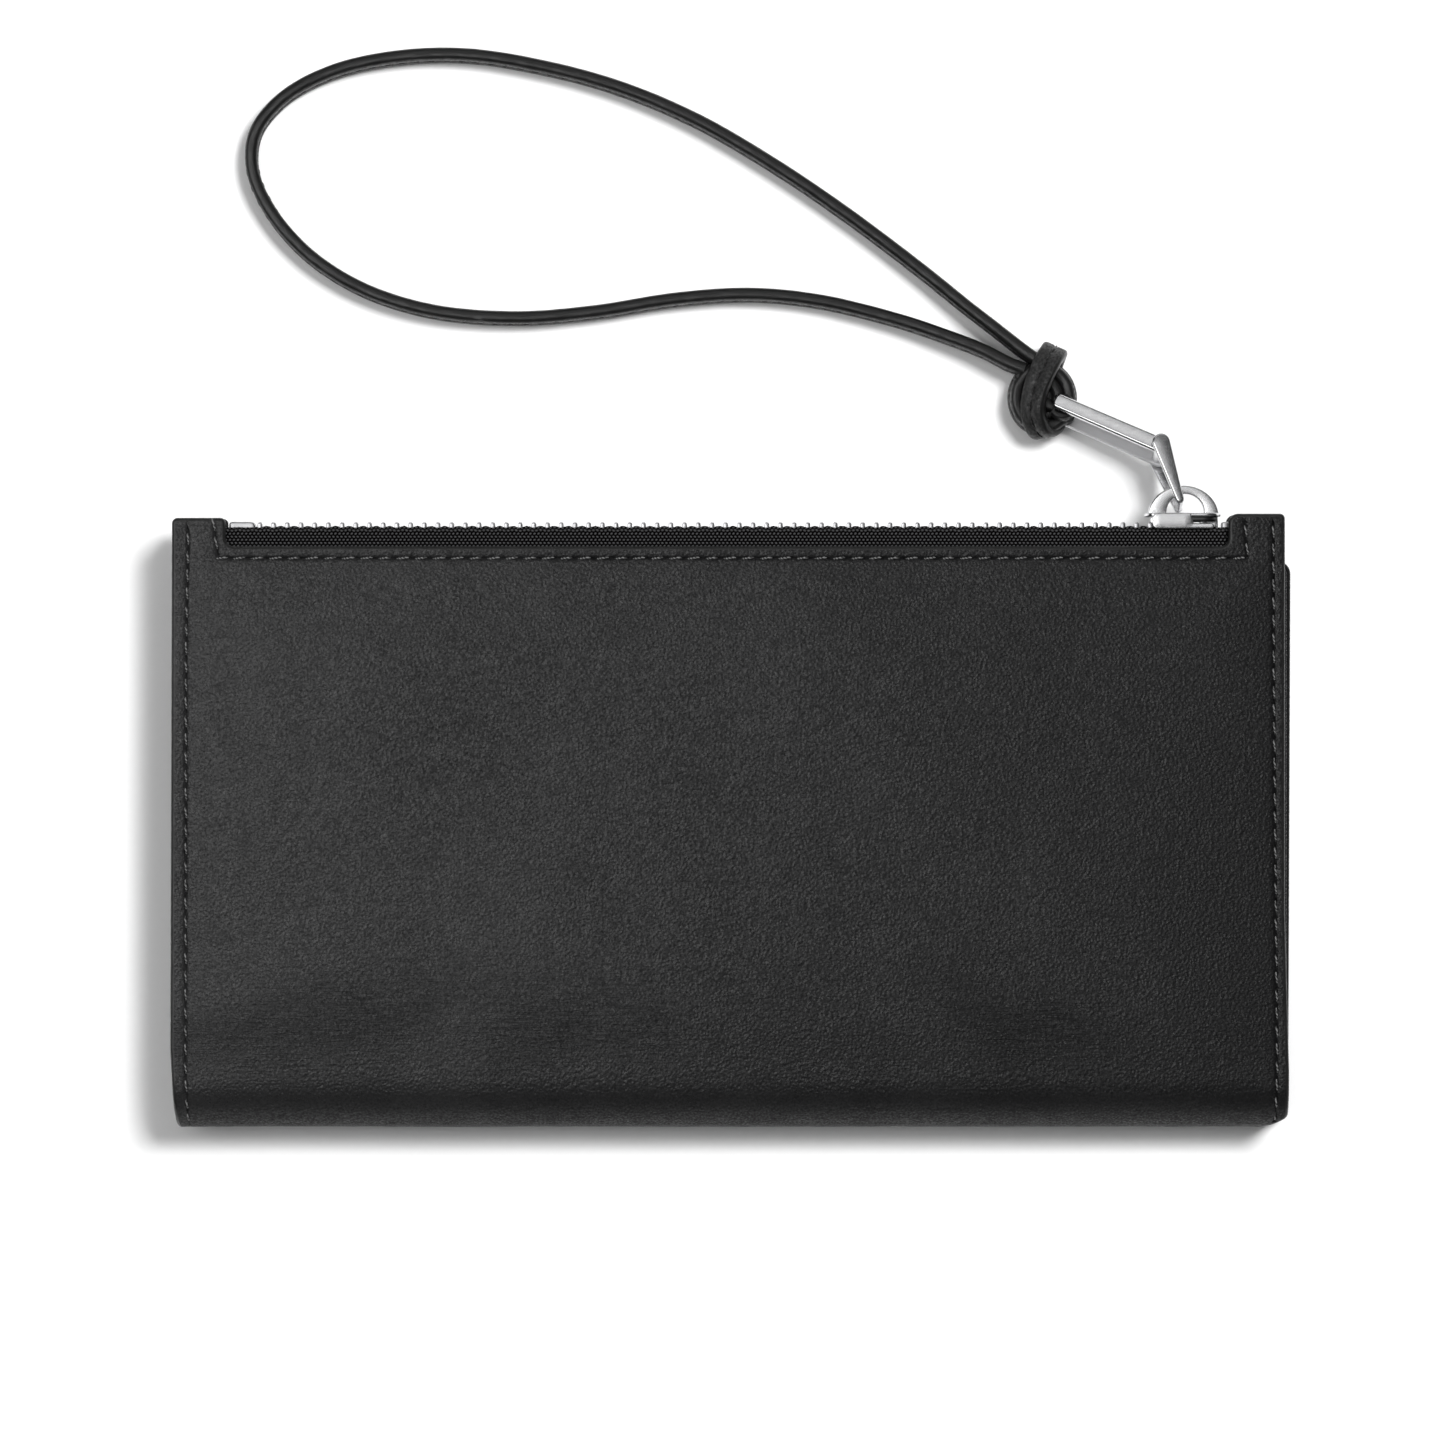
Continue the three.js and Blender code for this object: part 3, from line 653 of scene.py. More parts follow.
def make_camera():
    """A long lens straight above the wallet."""
    camera = bpy.data.objects.new("camera", bpy.data.cameras.new("camera"))
    camera.data.sensor_width = 36.0
    camera.data.lens = 173.6
    camera.data.clip_start, camera.data.clip_end = 0.05, 20.0
    camera.location = (-0.0023, 0.0020, 1.25)
    scene.collection.objects.link(camera)
    scene.camera = camera


def add_light(name, place, target, size, watts):
    """A rectangular light that faces its target."""
    data = bpy.data.lights.new(name, "AREA")
    data.shape = "RECTANGLE"
    data.size, data.size_y = size
    data.energy = watts
    light = bpy.data.objects.new(name, data)
    light.location = place
    light.rotation_euler = (Vector(target) - Vector(place)).to_track_quat("-Z", "Y").to_euler()
    scene.collection.objects.link(light)
    return light


def make_studio():
    """A large soft key from the right, weaker softboxes for the metal to mirror, a dim sky, and a
    white table."""
    key = add_light("key", (0.44, 0.42, 1.12), (0.0, 0.02, 0.0), (0.38, 0.38), 18.5)
    key.visible_glossy = False
    add_light("left_softbox", (-0.42, 0.05, 0.92), (-0.05, 0.0, 0.0), (0.5, 0.9), 3.7)
    add_light("back_softbox", (0.1, 0.90, 0.95), (0.05, 0.05, 0.0), (1.0, 0.35), 0.95)
    add_light("top_softbox", (0.05, 0.24, 1.30), (0.03, 0.05, 0.0), (0.45, 0.62), 0.65)
    add_light("front_fill", (0.1, -0.95, 0.55), (0.0, 0.0, 0.0), (1.1, 0.4), 0.15)
    world = bpy.data.worlds.new("studio")
    world.use_nodes = True
    tree = world.node_tree
    direction = add_node(tree, "TexCoord").outputs["Generated"]
    height = add_node(tree, "SeparateXYZ", {0: direction}).outputs[2]
    level = ramp(tree, height, 0.05, 0.75)
    colour = blend_colour(tree, level, grey(0.10), (0.85, 0.86, 0.87))
    background = tree.nodes["Background"]
    tree.links.new(colour, background.inputs["Color"])
    background.inputs["Strength"].default_value = 0.08
    scene.world = world

    material, tree, shader, _ = new_material("white_table")
    place = add_node(tree, "TexCoord").outputs["Object"]
    paper = noise_at(tree, place, 900.0, 2.0)
    set_colour(tree, shader, paper, grey(0.90), grey(0.93))
    shader.inputs["Roughness"].default_value = 0.7
    half = 3000.0
    corners = [(-half, -half, 0), (half, -half, 0), (half, half, 0), (-half, half, 0)]
    floor = add_piece("floor", corners, [(0, 1, 2, 3)], material)
    scene.view_settings.view_transform = "Standard"


# ---- Strap ----

def strap_section(width, thickness):
    """Section of the strap as (across its width, through its thickness), with a groove for the
    stitching along the middle of both wide sides."""
    w, t = width / 2, thickness / 2
    corner, groove = 0.36 * thickness, 0.2
    half = []
    for k in range(4):
        a = k * math.pi / 6
        half.append((w - corner + corner * math.cos(a), t - corner + corner * math.sin(a)))
    half += [(0.5, t), (0.15, t - groove), (-0.15, t - groove), (-0.5, t)]
    for k in range(4):
        a = math.pi / 2 + k * math.pi / 6
        half.append((corner - w + corner * math.cos(a), t - corner + corner * math.sin(a)))
    return np.array(half + [(-x, -y) for x, y in half])


def add_strap(shell, route, widths, width=STRAP_WIDTH, thickness=STRAP_THICKNESS):
    """A length of strap along a route, whose width lies along the given directions."""
    section = strap_section(width, thickness)
    points, faces = sweep(route, widths, section)
    size = len(section)
    place = np.column_stack([np.repeat(lengths_along(route), size),
                             np.tile(section[:, 0], len(route)),
                             np.tile(section[:, 1], len(route))])
    rough = np.array([noise.noise(Vector(p) * 1.7) for p in place.tolist()])
    points = points + (points - np.repeat(route, size, axis=0)) * (0.022 * rough)[:, None]
    middles = (section + np.roll(section, -1, 0)) / 2
    edge = np.abs(middles[:, 0]) > width / 2 - 0.25 * thickness
    kinds = [int(flag) for _ in range(len(route) - 1) for flag in edge] + [1, 1]
    shell.add(points, faces, kinds, place)


def add_strap_stitches(shell, route, widths, sides=(1, -1), thickness=STRAP_THICKNESS):
    """Stitches along the middle of a strap's wide sides."""
    widths, normals = axes_along(route, widths)
    travelled = lengths_along(route)
    shares = np.array((-1.0, -0.8, -0.4, 0.0, 0.4, 0.8, 1.0))
    section = [(math.cos(a) * 0.17, math.sin(a) * 0.15)
               for a in np.linspace(0, 2 * math.pi, 6, endpoint=False)]
    for k in range(int(travelled[-1] / STRAP_STITCH_PITCH)):
        where = (k + 0.5) * STRAP_STITCH_PITCH + shares * STRAP_STITCH_LENGTH / 2
        if where[-1] > travelled[-1] or where[0] < 0:
            continue
        centre, out, across = [read_off(where, travelled, values)
                               for values in (route, normals, widths)]
        for side in sides:
            drop = thickness / 2 - 0.02 - 0.38 * np.abs(shares) ** 3
            path = centre + out * (side * drop)[:, None] + across * (0.07 * shares)[:, None]
            shell.add(*sweep(path, across, section))


def make_strap_loop():
    """The free loop, from the knot and back into it, standing on its narrow edge."""
    route = smooth_line([(54.3, 66.3, 5.0)] + STRAP_ROUTE + [(51.8, 64.9, 5.0)], 1.1)
    up = constant((0.0, 0.10, 1.0), len(route))
    strap, thread = Shell(), Shell()
    add_strap(strap, route, up)
    loop = strap.piece("wrist_strap", [STRAP, STRAP_EDGE], body="strap", nodes=["strap_loop"],
                       slot="strap_leather")
    add_strap_stitches(thread, route[4:-4], up[4:-4])
    stitches = thread.piece("wrist_strap_stitches", PAINTED_SHADE_STRAP_THREAD, body="strap",
                            slot="strap_leather")


KNOT_MIDDLE = (54.9, 60.0)
KNOT_RADII = (4.93, 5.48)


def round_knot(angles, depth, heights):
    """A route round the knot's middle, that far inside its outer wrap."""
    return np.column_stack([KNOT_MIDDLE[0] + (KNOT_RADII[0] - depth) * np.cos(angles),
                            KNOT_MIDDLE[1] + (KNOT_RADII[1] - depth) * np.sin(angles), heights])


def make_knot():
    """The knot: an outer and an inner wrap, a core, a band over all three, and the bight round
    the ring's bar."""
    knot, thread = Shell(), Shell()
    angles = np.radians(np.arange(105.0, 436.0, 5.0))
    coil = round_knot(angles, 0.0, np.linspace(5.0, 4.0, len(angles)))
    up = np.column_stack([-0.15 * np.cos(angles), -0.15 * np.sin(angles), np.ones(len(coil))])
    add_strap(knot, coil, up)
    add_strap_stitches(thread, coil, up, sides=(-1, 1))
    turns = np.radians(np.arange(-75.0, 116.0, 7.0))
    inner = round_knot(turns, STRAP_THICKNESS, np.full(len(turns), 3.9))
    add_strap(knot, inner, constant((0.0, 0.0, 1.0), len(inner)), width=4.4)
    core = smooth_line([(50.3, 64.2, 4.9), (52.6, 61.6, 4.9), (54.6, 59.3, 4.9), (56.6, 58.2, 4.9)],
                       0.8)
    add_strap(knot, core, constant((0.0, 0.1, 1.0), len(core)), width=4.4)

    band = [
        (56.2, 65.9, 1.4), (56.8, 67.6, 2.2), (57.0, 68.4, 4.3), (56.6, 67.9, 6.5),
        (55.7, 66.5, 8.0), (54.4, 63.8, 8.5), (53.3, 60.4, 8.4), (53.0, 57.4, 8.1),
        (53.6, 55.2, 7.3), (54.6, 53.9, 5.7), (55.7, 53.9, 4.1), (56.8, 55.0, 2.9),
        (57.1, 57.0, 2.4),
    ]
    across = [
        (0.9, -0.42, 0.1), (0.9, -0.42, 0.1), (0.9, -0.42, 0.15), (0.9, -0.42, 0.2),
        (0.9, -0.42, 0.25), (0.92, -0.34, 0.36), (0.97, -0.12, 0.55), (0.98, 0.02, 0.68),
        (0.92, 0.05, 0.72), (0.88, 0.10, 0.72), (0.88, 0.15, 0.7), (0.88, 0.15, 0.65),
        (0.9, 0.1, 0.6),
    ]
    route = smooth_line(band, 0.55)
    across = read_off(np.linspace(0, 1, len(route)), np.linspace(0, 1, len(band)),
                      np.array(across))
    add_strap(knot, route, across, thickness=2.0)
    add_strap_stitches(thread, route, across, sides=(1,), thickness=2.0)

    centre, above = link_place([ring_end(), ring_end() + np.array((0, 0, 1.0))])
    bight = link_place([ring_end() + 1.8 * np.array((math.cos(a), math.sin(a), 0))
                        for a in np.radians(np.arange(-150.0, 151.0, 10.0))])
    add_strap(knot, bight, constant(above - centre, len(bight)), width=4.3, thickness=1.25)
    knot.piece("strap_knot_wraps", [STRAP, STRAP_EDGE], body="strap", nodes=["strap_knot"],
               slot="strap_leather")
    thread.piece("strap_knot_stitches", PAINTED_SHADE_STRAP_THREAD, body="strap", slot="strap_leather")


# ---- Link ----

LINK_FOOT = np.array((78.8, 40.8))
LINK_TILT = math.radians(20)
SHACKLE_RISE = np.array((-3.2, 9.95, 0.0))
SHACKLE_HALF_GAP = (1.9, 4.1)                     # at the bridge, and at the hinge pin
RING_REACH = np.array((-17.3, 8.15, 0.0))


def link_place(points):
    """Points from the link's tilted plane to the frame."""
    x, y, z = np.asarray(points, float).T
    c, s = math.cos(LINK_TILT), math.sin(LINK_TILT)
    return np.column_stack([LINK_FOOT[0] + x, LINK_FOOT[1] + y * c + z * s, ZIP_Z - y * s + z * c])


def ring_end():
    """The ring's end bar, in the link's plane."""
    return SHACKLE_RISE + RING_REACH


def tapered_outline(start_radius, end_radius, end):
    """Outline of a rod with two round ends, from the origin to end."""
    length = math.hypot(*end[:2])
    direction = math.atan2(end[1], end[0])
    spread = math.acos((start_radius - end_radius) / length)
    points, count = [], 14
    for k in range(count + 1):
        a = direction + spread + (2 * math.pi - 2 * spread) * k / count
        points.append((start_radius * math.cos(a), start_radius * math.sin(a)))
    for k in range(count + 1):
        a = direction - spread + 2 * spread * k / count
        points.append((end[0] + end_radius * math.cos(a), end[1] + end_radius * math.sin(a)))
    dense = []
    for a, b in zip(points, points[1:] + points[:1]):
        parts = max(1, round(math.dist(a, b) / 0.8))
        dense += [(a[0] + (b[0] - a[0]) * k / parts, a[1] + (b[1] - a[1]) * k / parts)
                  for k in range(parts)]
    return np.array(dense)


def ring_outline(radius, count=28, turn=1):
    """A circle's outline: counter-clockwise for turn 1, clockwise for a hole's -1."""
    a = np.linspace(0, 2 * math.pi, count, endpoint=False) * turn
    return radius * np.column_stack([np.cos(a), np.sin(a)])


def add_slab(shell, loops, low, high, edge, place=None, kind=0, **settings):
    """A slab of one material, drawn in its own plane and laid in the frame by place."""
    points, _, faces, _ = slab(loops, low, high, edge, **settings)
    laid = points if place is None else place(points)
    shell.add(laid, faces, kind, laid)


def add_rod(shell, centre, radius, low, high, place):
    """A round rod that stands across the link's plane."""
    add_slab(shell, [ring_outline(radius) + np.asarray(centre, float)[:2]], low, high, 0.12, place)


def make_link():
    """The shackle through the slider's bridge, the hinge pin, and the ring that holds the strap."""
    shackle, pin, ring = Shell(), Shell(), Shell()
    length = math.hypot(*SHACKLE_RISE[:2])
    lean = (SHACKLE_HALF_GAP[1] - SHACKLE_HALF_GAP[0]) / length
    along = SHACKLE_RISE[:2] / length
    drop = tapered_outline(0.75, 1.62, SHACKLE_RISE)
    for side, low, high, edge, low_edge in ((1, 0.0, 0.95, 0.42, 0.2), (-1, -0.95, 0.0, 0.2, 0.42)):
        def leg(points, side=side):
            shift = side * (SHACKLE_HALF_GAP[0] + lean * (points[:, :2] @ along))
            return link_place(np.column_stack([points[:, :2], points[:, 2] + shift]))
        add_slab(shackle, [drop], low, high, edge, leg, steps=6, low_edge=low_edge)
    add_rod(shackle, (0, 0), 0.7, -2.3, 2.3, link_place)
    shackle.piece("shackle", NICKEL, body="shackle", nodes=["link_shackle"], slot="nickel_plate")
    add_rod(pin, SHACKLE_RISE, 0.6, -4.3, 4.3, link_place)
    pin.piece("hinge_pin", NICKEL, body="shackle", nodes=["link_pin"], slot="nickel_plate")

    reach = math.hypot(*RING_REACH[:2])
    turn = math.atan2(RING_REACH[1], RING_REACH[0])

    def own(points):
        """From the ring's own axis, along x from the pin, to the frame."""
        x, y, z = np.asarray(points, float).T
        return link_place(np.column_stack([
            SHACKLE_RISE[0] + x * math.cos(turn) - y * math.sin(turn),
            SHACKLE_RISE[1] + x * math.sin(turn) + y * math.cos(turn), z]))

    rail = outline([(-1.5, -1.5, 1.3), (reach + 1.65, -1.35, 0.8), (reach + 1.65, 1.35, 0.95),
                    (-1.5, 1.5, 1.3)], 0.7)
    hole = ring_outline(0.72, 20, -1)
    for low, high, edge, low_edge, kind in ((2.6, 3.6, 0.45, 0.2, 0), (-3.6, -2.6, 0.2, 0.45, 1)):
        add_slab(ring, [rail, hole], low, high, edge, own, kind, steps=6, low_edge=low_edge,
                 hole_share=0.25)
    add_slab(ring, [ring_outline(1.25), hole], -2.9, 2.9, 0.1, own)
    add_rod(ring, (reach, 0), 0.85, -2.9, 2.9, own)
    ring.piece("strap_ring", [NICKEL, SATIN], body="ring", nodes=["link_ring"], slot="nickel_plate")


# ---- Zip ----

TOOTH_PITCH = 2.43
TAPE_PITCH = 0.14                                 # between the points of the tapes' surfaces
BEAD_Y = 36.27                                    # middle of the bead that the teeth clasp


def make_tapes():
    """The two tapes, each with the bumps of its weave and a corded top edge."""
    for name, side in (("front", 1), ("rear", -1)):
        low, high = node_box(f"zip_tape_{name}")
        x = np.arange(low[0], high[0], TAPE_PITCH)
        y = np.linspace(low[1], high[1] + 0.1, int((high[1] - low[1]) / TAPE_PITCH))
        gx, gy = np.meshgrid(x, y)
        rise = weave(gx, gy)
        cord = np.exp(-((gy - high[1] + 0.35) / 0.42) ** 2)
        base = BAG_HIGH[2] - ZIP_Z - 0.42
        tooth = 0.5 + 0.5 * np.cos((gx - tooth_start(name)) / TOOTH_PITCH * 2 * math.pi)
        outer = base + 0.30 * rise + 0.28 * cord * (1.15 - 0.5 * tooth)
        gy = gy + 0.16 * cord * (0.5 - tooth)
        rows, columns = gx.shape
        tops = np.column_stack([gx.ravel(), gy.ravel(), ZIP_Z + side * outer.ravel()])
        bottom = tops.copy()
        bottom[:, 2] = ZIP_Z + side * (base - 0.22)
        faces = [(i, i + 1, i + columns + 1, i + columns)
                 for r in range(rows - 1) for i in range(r * columns, (r + 1) * columns - 1)]
        border = list(range(columns)) + [r * columns + columns - 1 for r in range(1, rows)] \
            + [(rows - 1) * columns + c for c in range(columns - 2, -1, -1)] \
            + [r * columns for r in range(rows - 2, 0, -1)]
        start = len(tops)
        rim = bottom[border]
        count = len(border)
        faces += [(border[k], start + k, start + (k + 1) % count, border[(k + 1) % count])
                  for k in range(count)]
        faces.append(tuple(start + k for k in range(count))[::-1])
        if side < 0:
            faces = [face[::-1] for face in faces]
        # The weave's heights, kept for the tape's painted highlight on the floats and painted shade
        # in the gaps.
        painted_light_heights = np.concatenate([np.maximum(rise, 0.6 * cord).ravel(), np.zeros(count)])
        points = np.vstack([tops, rim])
        place = np.column_stack([points[:, :2], painted_light_heights])
        add_piece(f"zip_tape_{name}_weave", points, faces, TAPE, "front_half",
                  [f"zip_tape_{name}"], "zip_tape_cloth", place, sharp=75)


def weave(x, y):
    """Height of the tape's weave, from 0 to 1: rows of short slanted floats."""
    row = np.floor(y / 0.55)
    u = x / 0.72 + 0.5 * (row % 2)
    across = (u - np.floor(u) - 0.5) * 0.72
    up = (y / 0.55 - row - 0.5) * 0.55
    turn = np.where(row % 2 == 0, 0.55, -0.35)
    a = across * np.cos(turn) + up * np.sin(turn)
    b = -across * np.sin(turn) + up * np.cos(turn)
    return np.sqrt(np.clip(1 - (a / 0.37) ** 2 - (b / 0.27) ** 2, 0, 1))


def tooth_start(name):
    """Where along the zip the first tooth of a row stands."""
    return node_box(f"zip_teeth_{name}")[0][0] + 0.85 + (0 if name == "front" else TOOTH_PITCH / 2)


def make_teeth():
    """Both rows of teeth, each with its bead, and the stops at the zip's ends."""
    low, high = node_box("zip_teeth_front")
    for name, side, bottom, top in (("front", 1, 35.97, 37.53), ("rear", -1, 35.9, 36.85)):
        tooth = outline([(-0.43, bottom, 0.3), (0.43, bottom, 0.3), (0.43, top, 0.36),
                         (-0.43, top, 0.36)], 0.3)
        row = Shell()
        first = tooth_start(name)
        inner, outer = (0.58, 2.2) if side > 0 else (-2.2, -0.58)
        for k in range(int((high[0] - first - 0.6) / TOOTH_PITCH) + 1):
            shift = np.array((first + k * TOOTH_PITCH, 0.0))
            add_slab(row, [tooth + shift], ZIP_Z + inner, ZIP_Z + outer, 0.22, steps=2)
        bead = np.array([(x, BEAD_Y - 0.2 * math.cos((x - first) / TOOTH_PITCH * 2 * math.pi),
                          ZIP_Z + side * 1.72) for x in np.arange(low[0], high[0], 0.2)])
        points, faces = sweep(bead, constant((0.0, 1.0, 0.0), len(bead)), ring_outline(0.42, 12))
        rough = np.array([noise.noise(Vector(p) * 2.6) for p in points.tolist()])
        points[:, 1] += 0.10 * rough
        row.add(points, faces, 1, np.column_stack([points[:, :2], 0.55 + 0.8 * rough]))
        row.piece(f"zip_teeth_{name}_row", [TEETH, TAPE], body="front_half",
                  nodes=[f"zip_teeth_{name}"], slot="nickel_plate")
        low_stop, high_stop = node_box(f"zip_top_stop_{name}")
        stop = Shell()
        add_slab(stop, [box_outline(low_stop, high_stop, 0.35)], low_stop[2], high_stop[2], 0.2)
        stop.piece(f"zip_top_stop_{name}_clamp", TEETH, body="front_half",
                   nodes=[f"zip_top_stop_{name}"], slot="nickel_plate")
    stop = Shell()
    low_stop, high_stop = node_box("zip_bottom_stop")
    left, right = low_stop[0] + 0.2, high_stop[0] + 0.3
    corners = [(left, low_stop[1] + 0.1, 0.5), (right, low_stop[1] + 0.1, 0.5),
               (right, high_stop[1], 0.75), (left, high_stop[1], 0.5)]
    add_slab(stop, [outline(corners, 0.4)], low_stop[2] - 0.15, high_stop[2] + 0.25, 0.35, steps=5)
    stop.piece("zip_bottom_stop_clamp", SATIN, body="front_half", nodes=["zip_bottom_stop"],
               slot="nickel_plate")


def box_outline(low, high, radius, step=0.4, far_radius=None):
    """Outline of a rectangle. far_radius is for the two corners with the higher x."""
    far = radius if far_radius is None else far_radius
    return outline([(low[0], low[1], radius), (high[0], low[1], far), (high[0], high[1], far),
                    (low[0], high[1], radius)], step)


def half_round(left, right, base, top, turn=1, count=26):
    """Outline of a half ellipse on a flat base, counter-clockwise for turn 1."""
    a = np.linspace(0, math.pi, count)
    arc = np.column_stack([(left + right) / 2 + (right - left) / 2 * np.cos(a),
                           base + (top - base) * np.sin(a)])
    flat = [(left + (right - left) * k / 12, base) for k in range(1, 12)]
    return np.vstack([arc, flat])[::turn]


def make_slider():
    """The slider: two plates with a web between them, a dark block under the top plate as painted
    shade in the throat, a flange down each side, and the bridge.
    """
    slider = Shell()

    def flat(points):
        """A plate drawn in x and the distance from the zip's middle, and thick along y."""
        return np.column_stack([points[:, 0], points[:, 2], ZIP_Z - points[:, 1]])

    top = box_outline((72.7, -3.8), (86.1, 3.8), 2.0, 0.5, 2.6)
    add_slab(slider, [top], 38.5, 39.15, 0.2, flat, steps=5)
    # A block of dark nickel under the top plate: painted shade that makes the slider's throat dark.
    painted_shade_block = box_outline((80.3, -3.3), (85.4, 3.3), 0.5, 0.5, 2.2)
    add_slab(slider, [painted_shade_block], 37.62, 38.6, 0.35, flat, 1, steps=4)
    lower = box_outline((73.9, -1.9), (85.7, 1.9), 1.0, 0.5)
    add_slab(slider, [lower], 34.9, 35.7, 0.25, flat)
    web = box_outline((82.4, -0.4), (85.7, 0.4), 0.3, 0.5)
    add_slab(slider, [web], 35.3, 38.6, 0.05, flat)
    flange = outline([(73.9, 36.35, 0.7), (84.8, 36.35, 0.4), (84.8, 37.3, 0.4), (81.0, 37.3, 0.2),
                      (80.75, 39.1, 0.4), (73.9, 39.1, 0.8)], 0.35)
    for low, high in ((3.0, 3.95), (-3.95, -3.0)):
        add_slab(slider, [flange], ZIP_Z + low, ZIP_Z + high, 0.22, steps=4)
    bridge = half_round(73.2, 85.8, 38.55, 44.1)
    hole = half_round(76.5, 83.2, 39.25, 42.55, -1, 22)
    add_slab(slider, [bridge, hole], ZIP_Z - 1.3, ZIP_Z + 1.3, 0.3, steps=5, hole_share=0.8)
    slider.piece("zip_slider_body", [NICKEL, PAINTED_SHADE_NICKEL], body="slider", nodes=["zip_slider"],
                 slot="nickel_plate")


# ---- Outer leather ----

NOTCH = dict(left=-90.3, right=87.3, floor=33.2, corner=1.5, shoulder=0.9)
QUARTER = FOLD_RADIUS * math.pi / 2


def to_s(y):
    """Distance from the start of the fold, measured along the leather."""
    return y - FOLD_Y


def front_corners():
    """The front leather's corners as (x, s, radius), with the notch for the zip."""
    left, right, top = FRONT_LOW[0] - 0.6, FRONT_HIGH[0], to_s(FRONT_HIGH[1])
    floor, corner, shoulder = to_s(NOTCH["floor"]), NOTCH["corner"], NOTCH["shoulder"]
    return [
        (left + 0.9, -QUARTER, 0), (right - 4.0, -QUARTER, 0), (right - 1.6, -9.7, 3.0),
        (right + 0.75, -6.9, 2.4), (right + 0.75, 2.0, 9.0), (right, 30.0, 20.0),
        (right, top + 0.5, shoulder), (NOTCH["right"], top + 0.5, 1.7),
        (NOTCH["right"], floor, corner), (NOTCH["left"], floor, corner),
        (NOTCH["left"], top - 0.25, shoulder), (left + 0.3, top - 0.25, 1.0), (left, 6.0, 8.0),
    ]


def front_stitch_lines():
    """The lines of stitches down the left side, down the right side, and under the zip."""
    left, right, top = FRONT_LOW[0] + 2.2, FRONT_HIGH[0] - 1.9, to_s(FRONT_HIGH[1])
    line_y = to_s(31.1)
    return [
        np.array([(left + 0.4, top - 2.4), (left, to_s(15.0)), (left - 0.1, 3.0),
                  (left + 0.3, -QUARTER)]),
        np.array([(right - 0.2, top - 1.2), (right - 0.1, to_s(10.0)), (right + 0.5, 3.0),
                  (right + 0.3, -8.4)]),
        np.array([(-92.6, top + 0.1), (-91.6, line_y), (NOTCH["right"] + 3.4, line_y),
                  (NOTCH["right"] + 2.9, top - 1.0)]),
    ]


def groove(along, gap, depth, between, width):
    """Depth of a stitched groove: more between the stitches than under them."""
    share = np.cos(along / STITCH_PITCH * 2 * math.pi) * 0.5 + 0.5
    return (depth + between * share) * np.exp(-(gap / width) ** 2)


def make_half_leather(half, side, slab_parts, relief, lines, sink, node, **stitch):
    """Half of the outer leather and its stitches, shaped by relief and bent round the fold."""
    points, share, faces, kinds = slab_parts
    points[:, 2] += relief(points[:, :2]) * share
    piece = add_piece(f"{half}_leather", along_fold(points, side, FOLD_RADIUS),
                      [face[::side] for face in faces], [OUTER, EDGE], slot="outer_leather",
                      place=points, face_materials=kinds)
    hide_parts(node, "fold_leather")
    thread = Shell()
    for line in lines:
        add_stitches(thread, line, lambda flat: LEATHER / 2 + relief(flat) + sink,
                     lambda p: along_fold(p, side, FOLD_RADIUS), **stitch)
    thread.faces = [face[::side] for face in thread.faces]
    stitches = thread.piece(f"{half}_stitches", THREAD, slot="outer_leather")
    for soft in (piece, stitches):
        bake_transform(soft)


def make_front_leather():
    """The front half of the outer leather, swollen by the pocket under it."""
    loop = outline(front_corners(), 1.6)
    lines = front_stitch_lines()
    parts = slab([loop], -LEATHER / 2, LEATHER / 2, 0.62, scatter(loop, lines), steps=4,
                 low_edge=0.45)

    def relief(flat):
        rise = np.zeros(len(flat))
        border = np.full(len(flat), 1e9)
        for line in lines:
            gap, along = distance_to(flat, line)
            border = np.minimum(border, gap)
            rise -= groove(along, gap, 0.26, 0.22, 0.20)
            rise -= 0.07 * np.exp(-(gap / 0.8) ** 2)
            rise += 0.035 * soft_noise(flat, 0.9, 3.0) * np.exp(-(gap / 1.4) ** 2)
        x, s = flat.T
        within = (x > lines[0][1][0]) & (x < lines[1][1][0]) & (s < lines[2][1][1])
        swell = 0.75 * (1 - (1 - np.clip(border / 26.0, 0, 1)) ** 2)
        rise += np.where(within, swell, 0.0) * np.clip((s + 4.0) / 14.0, 0, 1)
        rise += 0.10 * soft_noise(flat, 24.0, 7.0) + 0.035 * soft_noise(flat, 8.0, 11.0)
        return rise

    make_half_leather("front", 1, parts, relief, lines, 0.02, "front_leather_panel", length=2.35,
                      radius=0.17, lift=0.24)


def make_rear_leather():
    """The rear half of the outer leather, a little wider than the front."""
    left, right, top = REAR_LOW[0], REAR_HIGH[0], to_s(REAR_HIGH[1])
    loop = outline([
        (FRONT_LOW[0] + 0.3, -QUARTER, 0), (FRONT_HIGH[0] - 4.0, -QUARTER, 0),
        (FRONT_HIGH[0] - 1.4, -9.6, 3.0), (right - 0.5, -6.2, 2.4), (right - 0.35, 4.0, 6.0),
        (right, top, 2.4), (left, top, 2.4), (left, 4.0, 6.0),
    ], 1.8)
    lines = [
        np.array([(left + 2.2, top - 2.0), (left + 2.2, 2.0), (FRONT_LOW[0] + 2.6, -QUARTER)]),
        np.array([(right - 2.2, 2.0), (right - 2.2, top - 2.0)]),
        np.array([(left + 2.2, top - 2.0), (right - 2.2, top - 2.0)]),
    ]
    parts = slab([loop], -LEATHER / 2, LEATHER / 2, 0.45, scatter(loop, lines, spacing=2.6))

    def relief(flat):
        rise = np.zeros(len(flat))
        for line in lines:
            gap, along = distance_to(flat, line)
            rise -= groove(along, gap, 0.20, 0.14, 0.34)
        return rise

    make_half_leather("rear", -1, parts, relief, lines, -0.05, "rear_cover_leather")


# ---- Linings, card slots, pocket ----

LINING_RADIUS = FOLD_Z - (node_box("rear_lining")[0][2] + node_box("rear_lining")[1][2]) / 2
LINING_HALF = 0.25


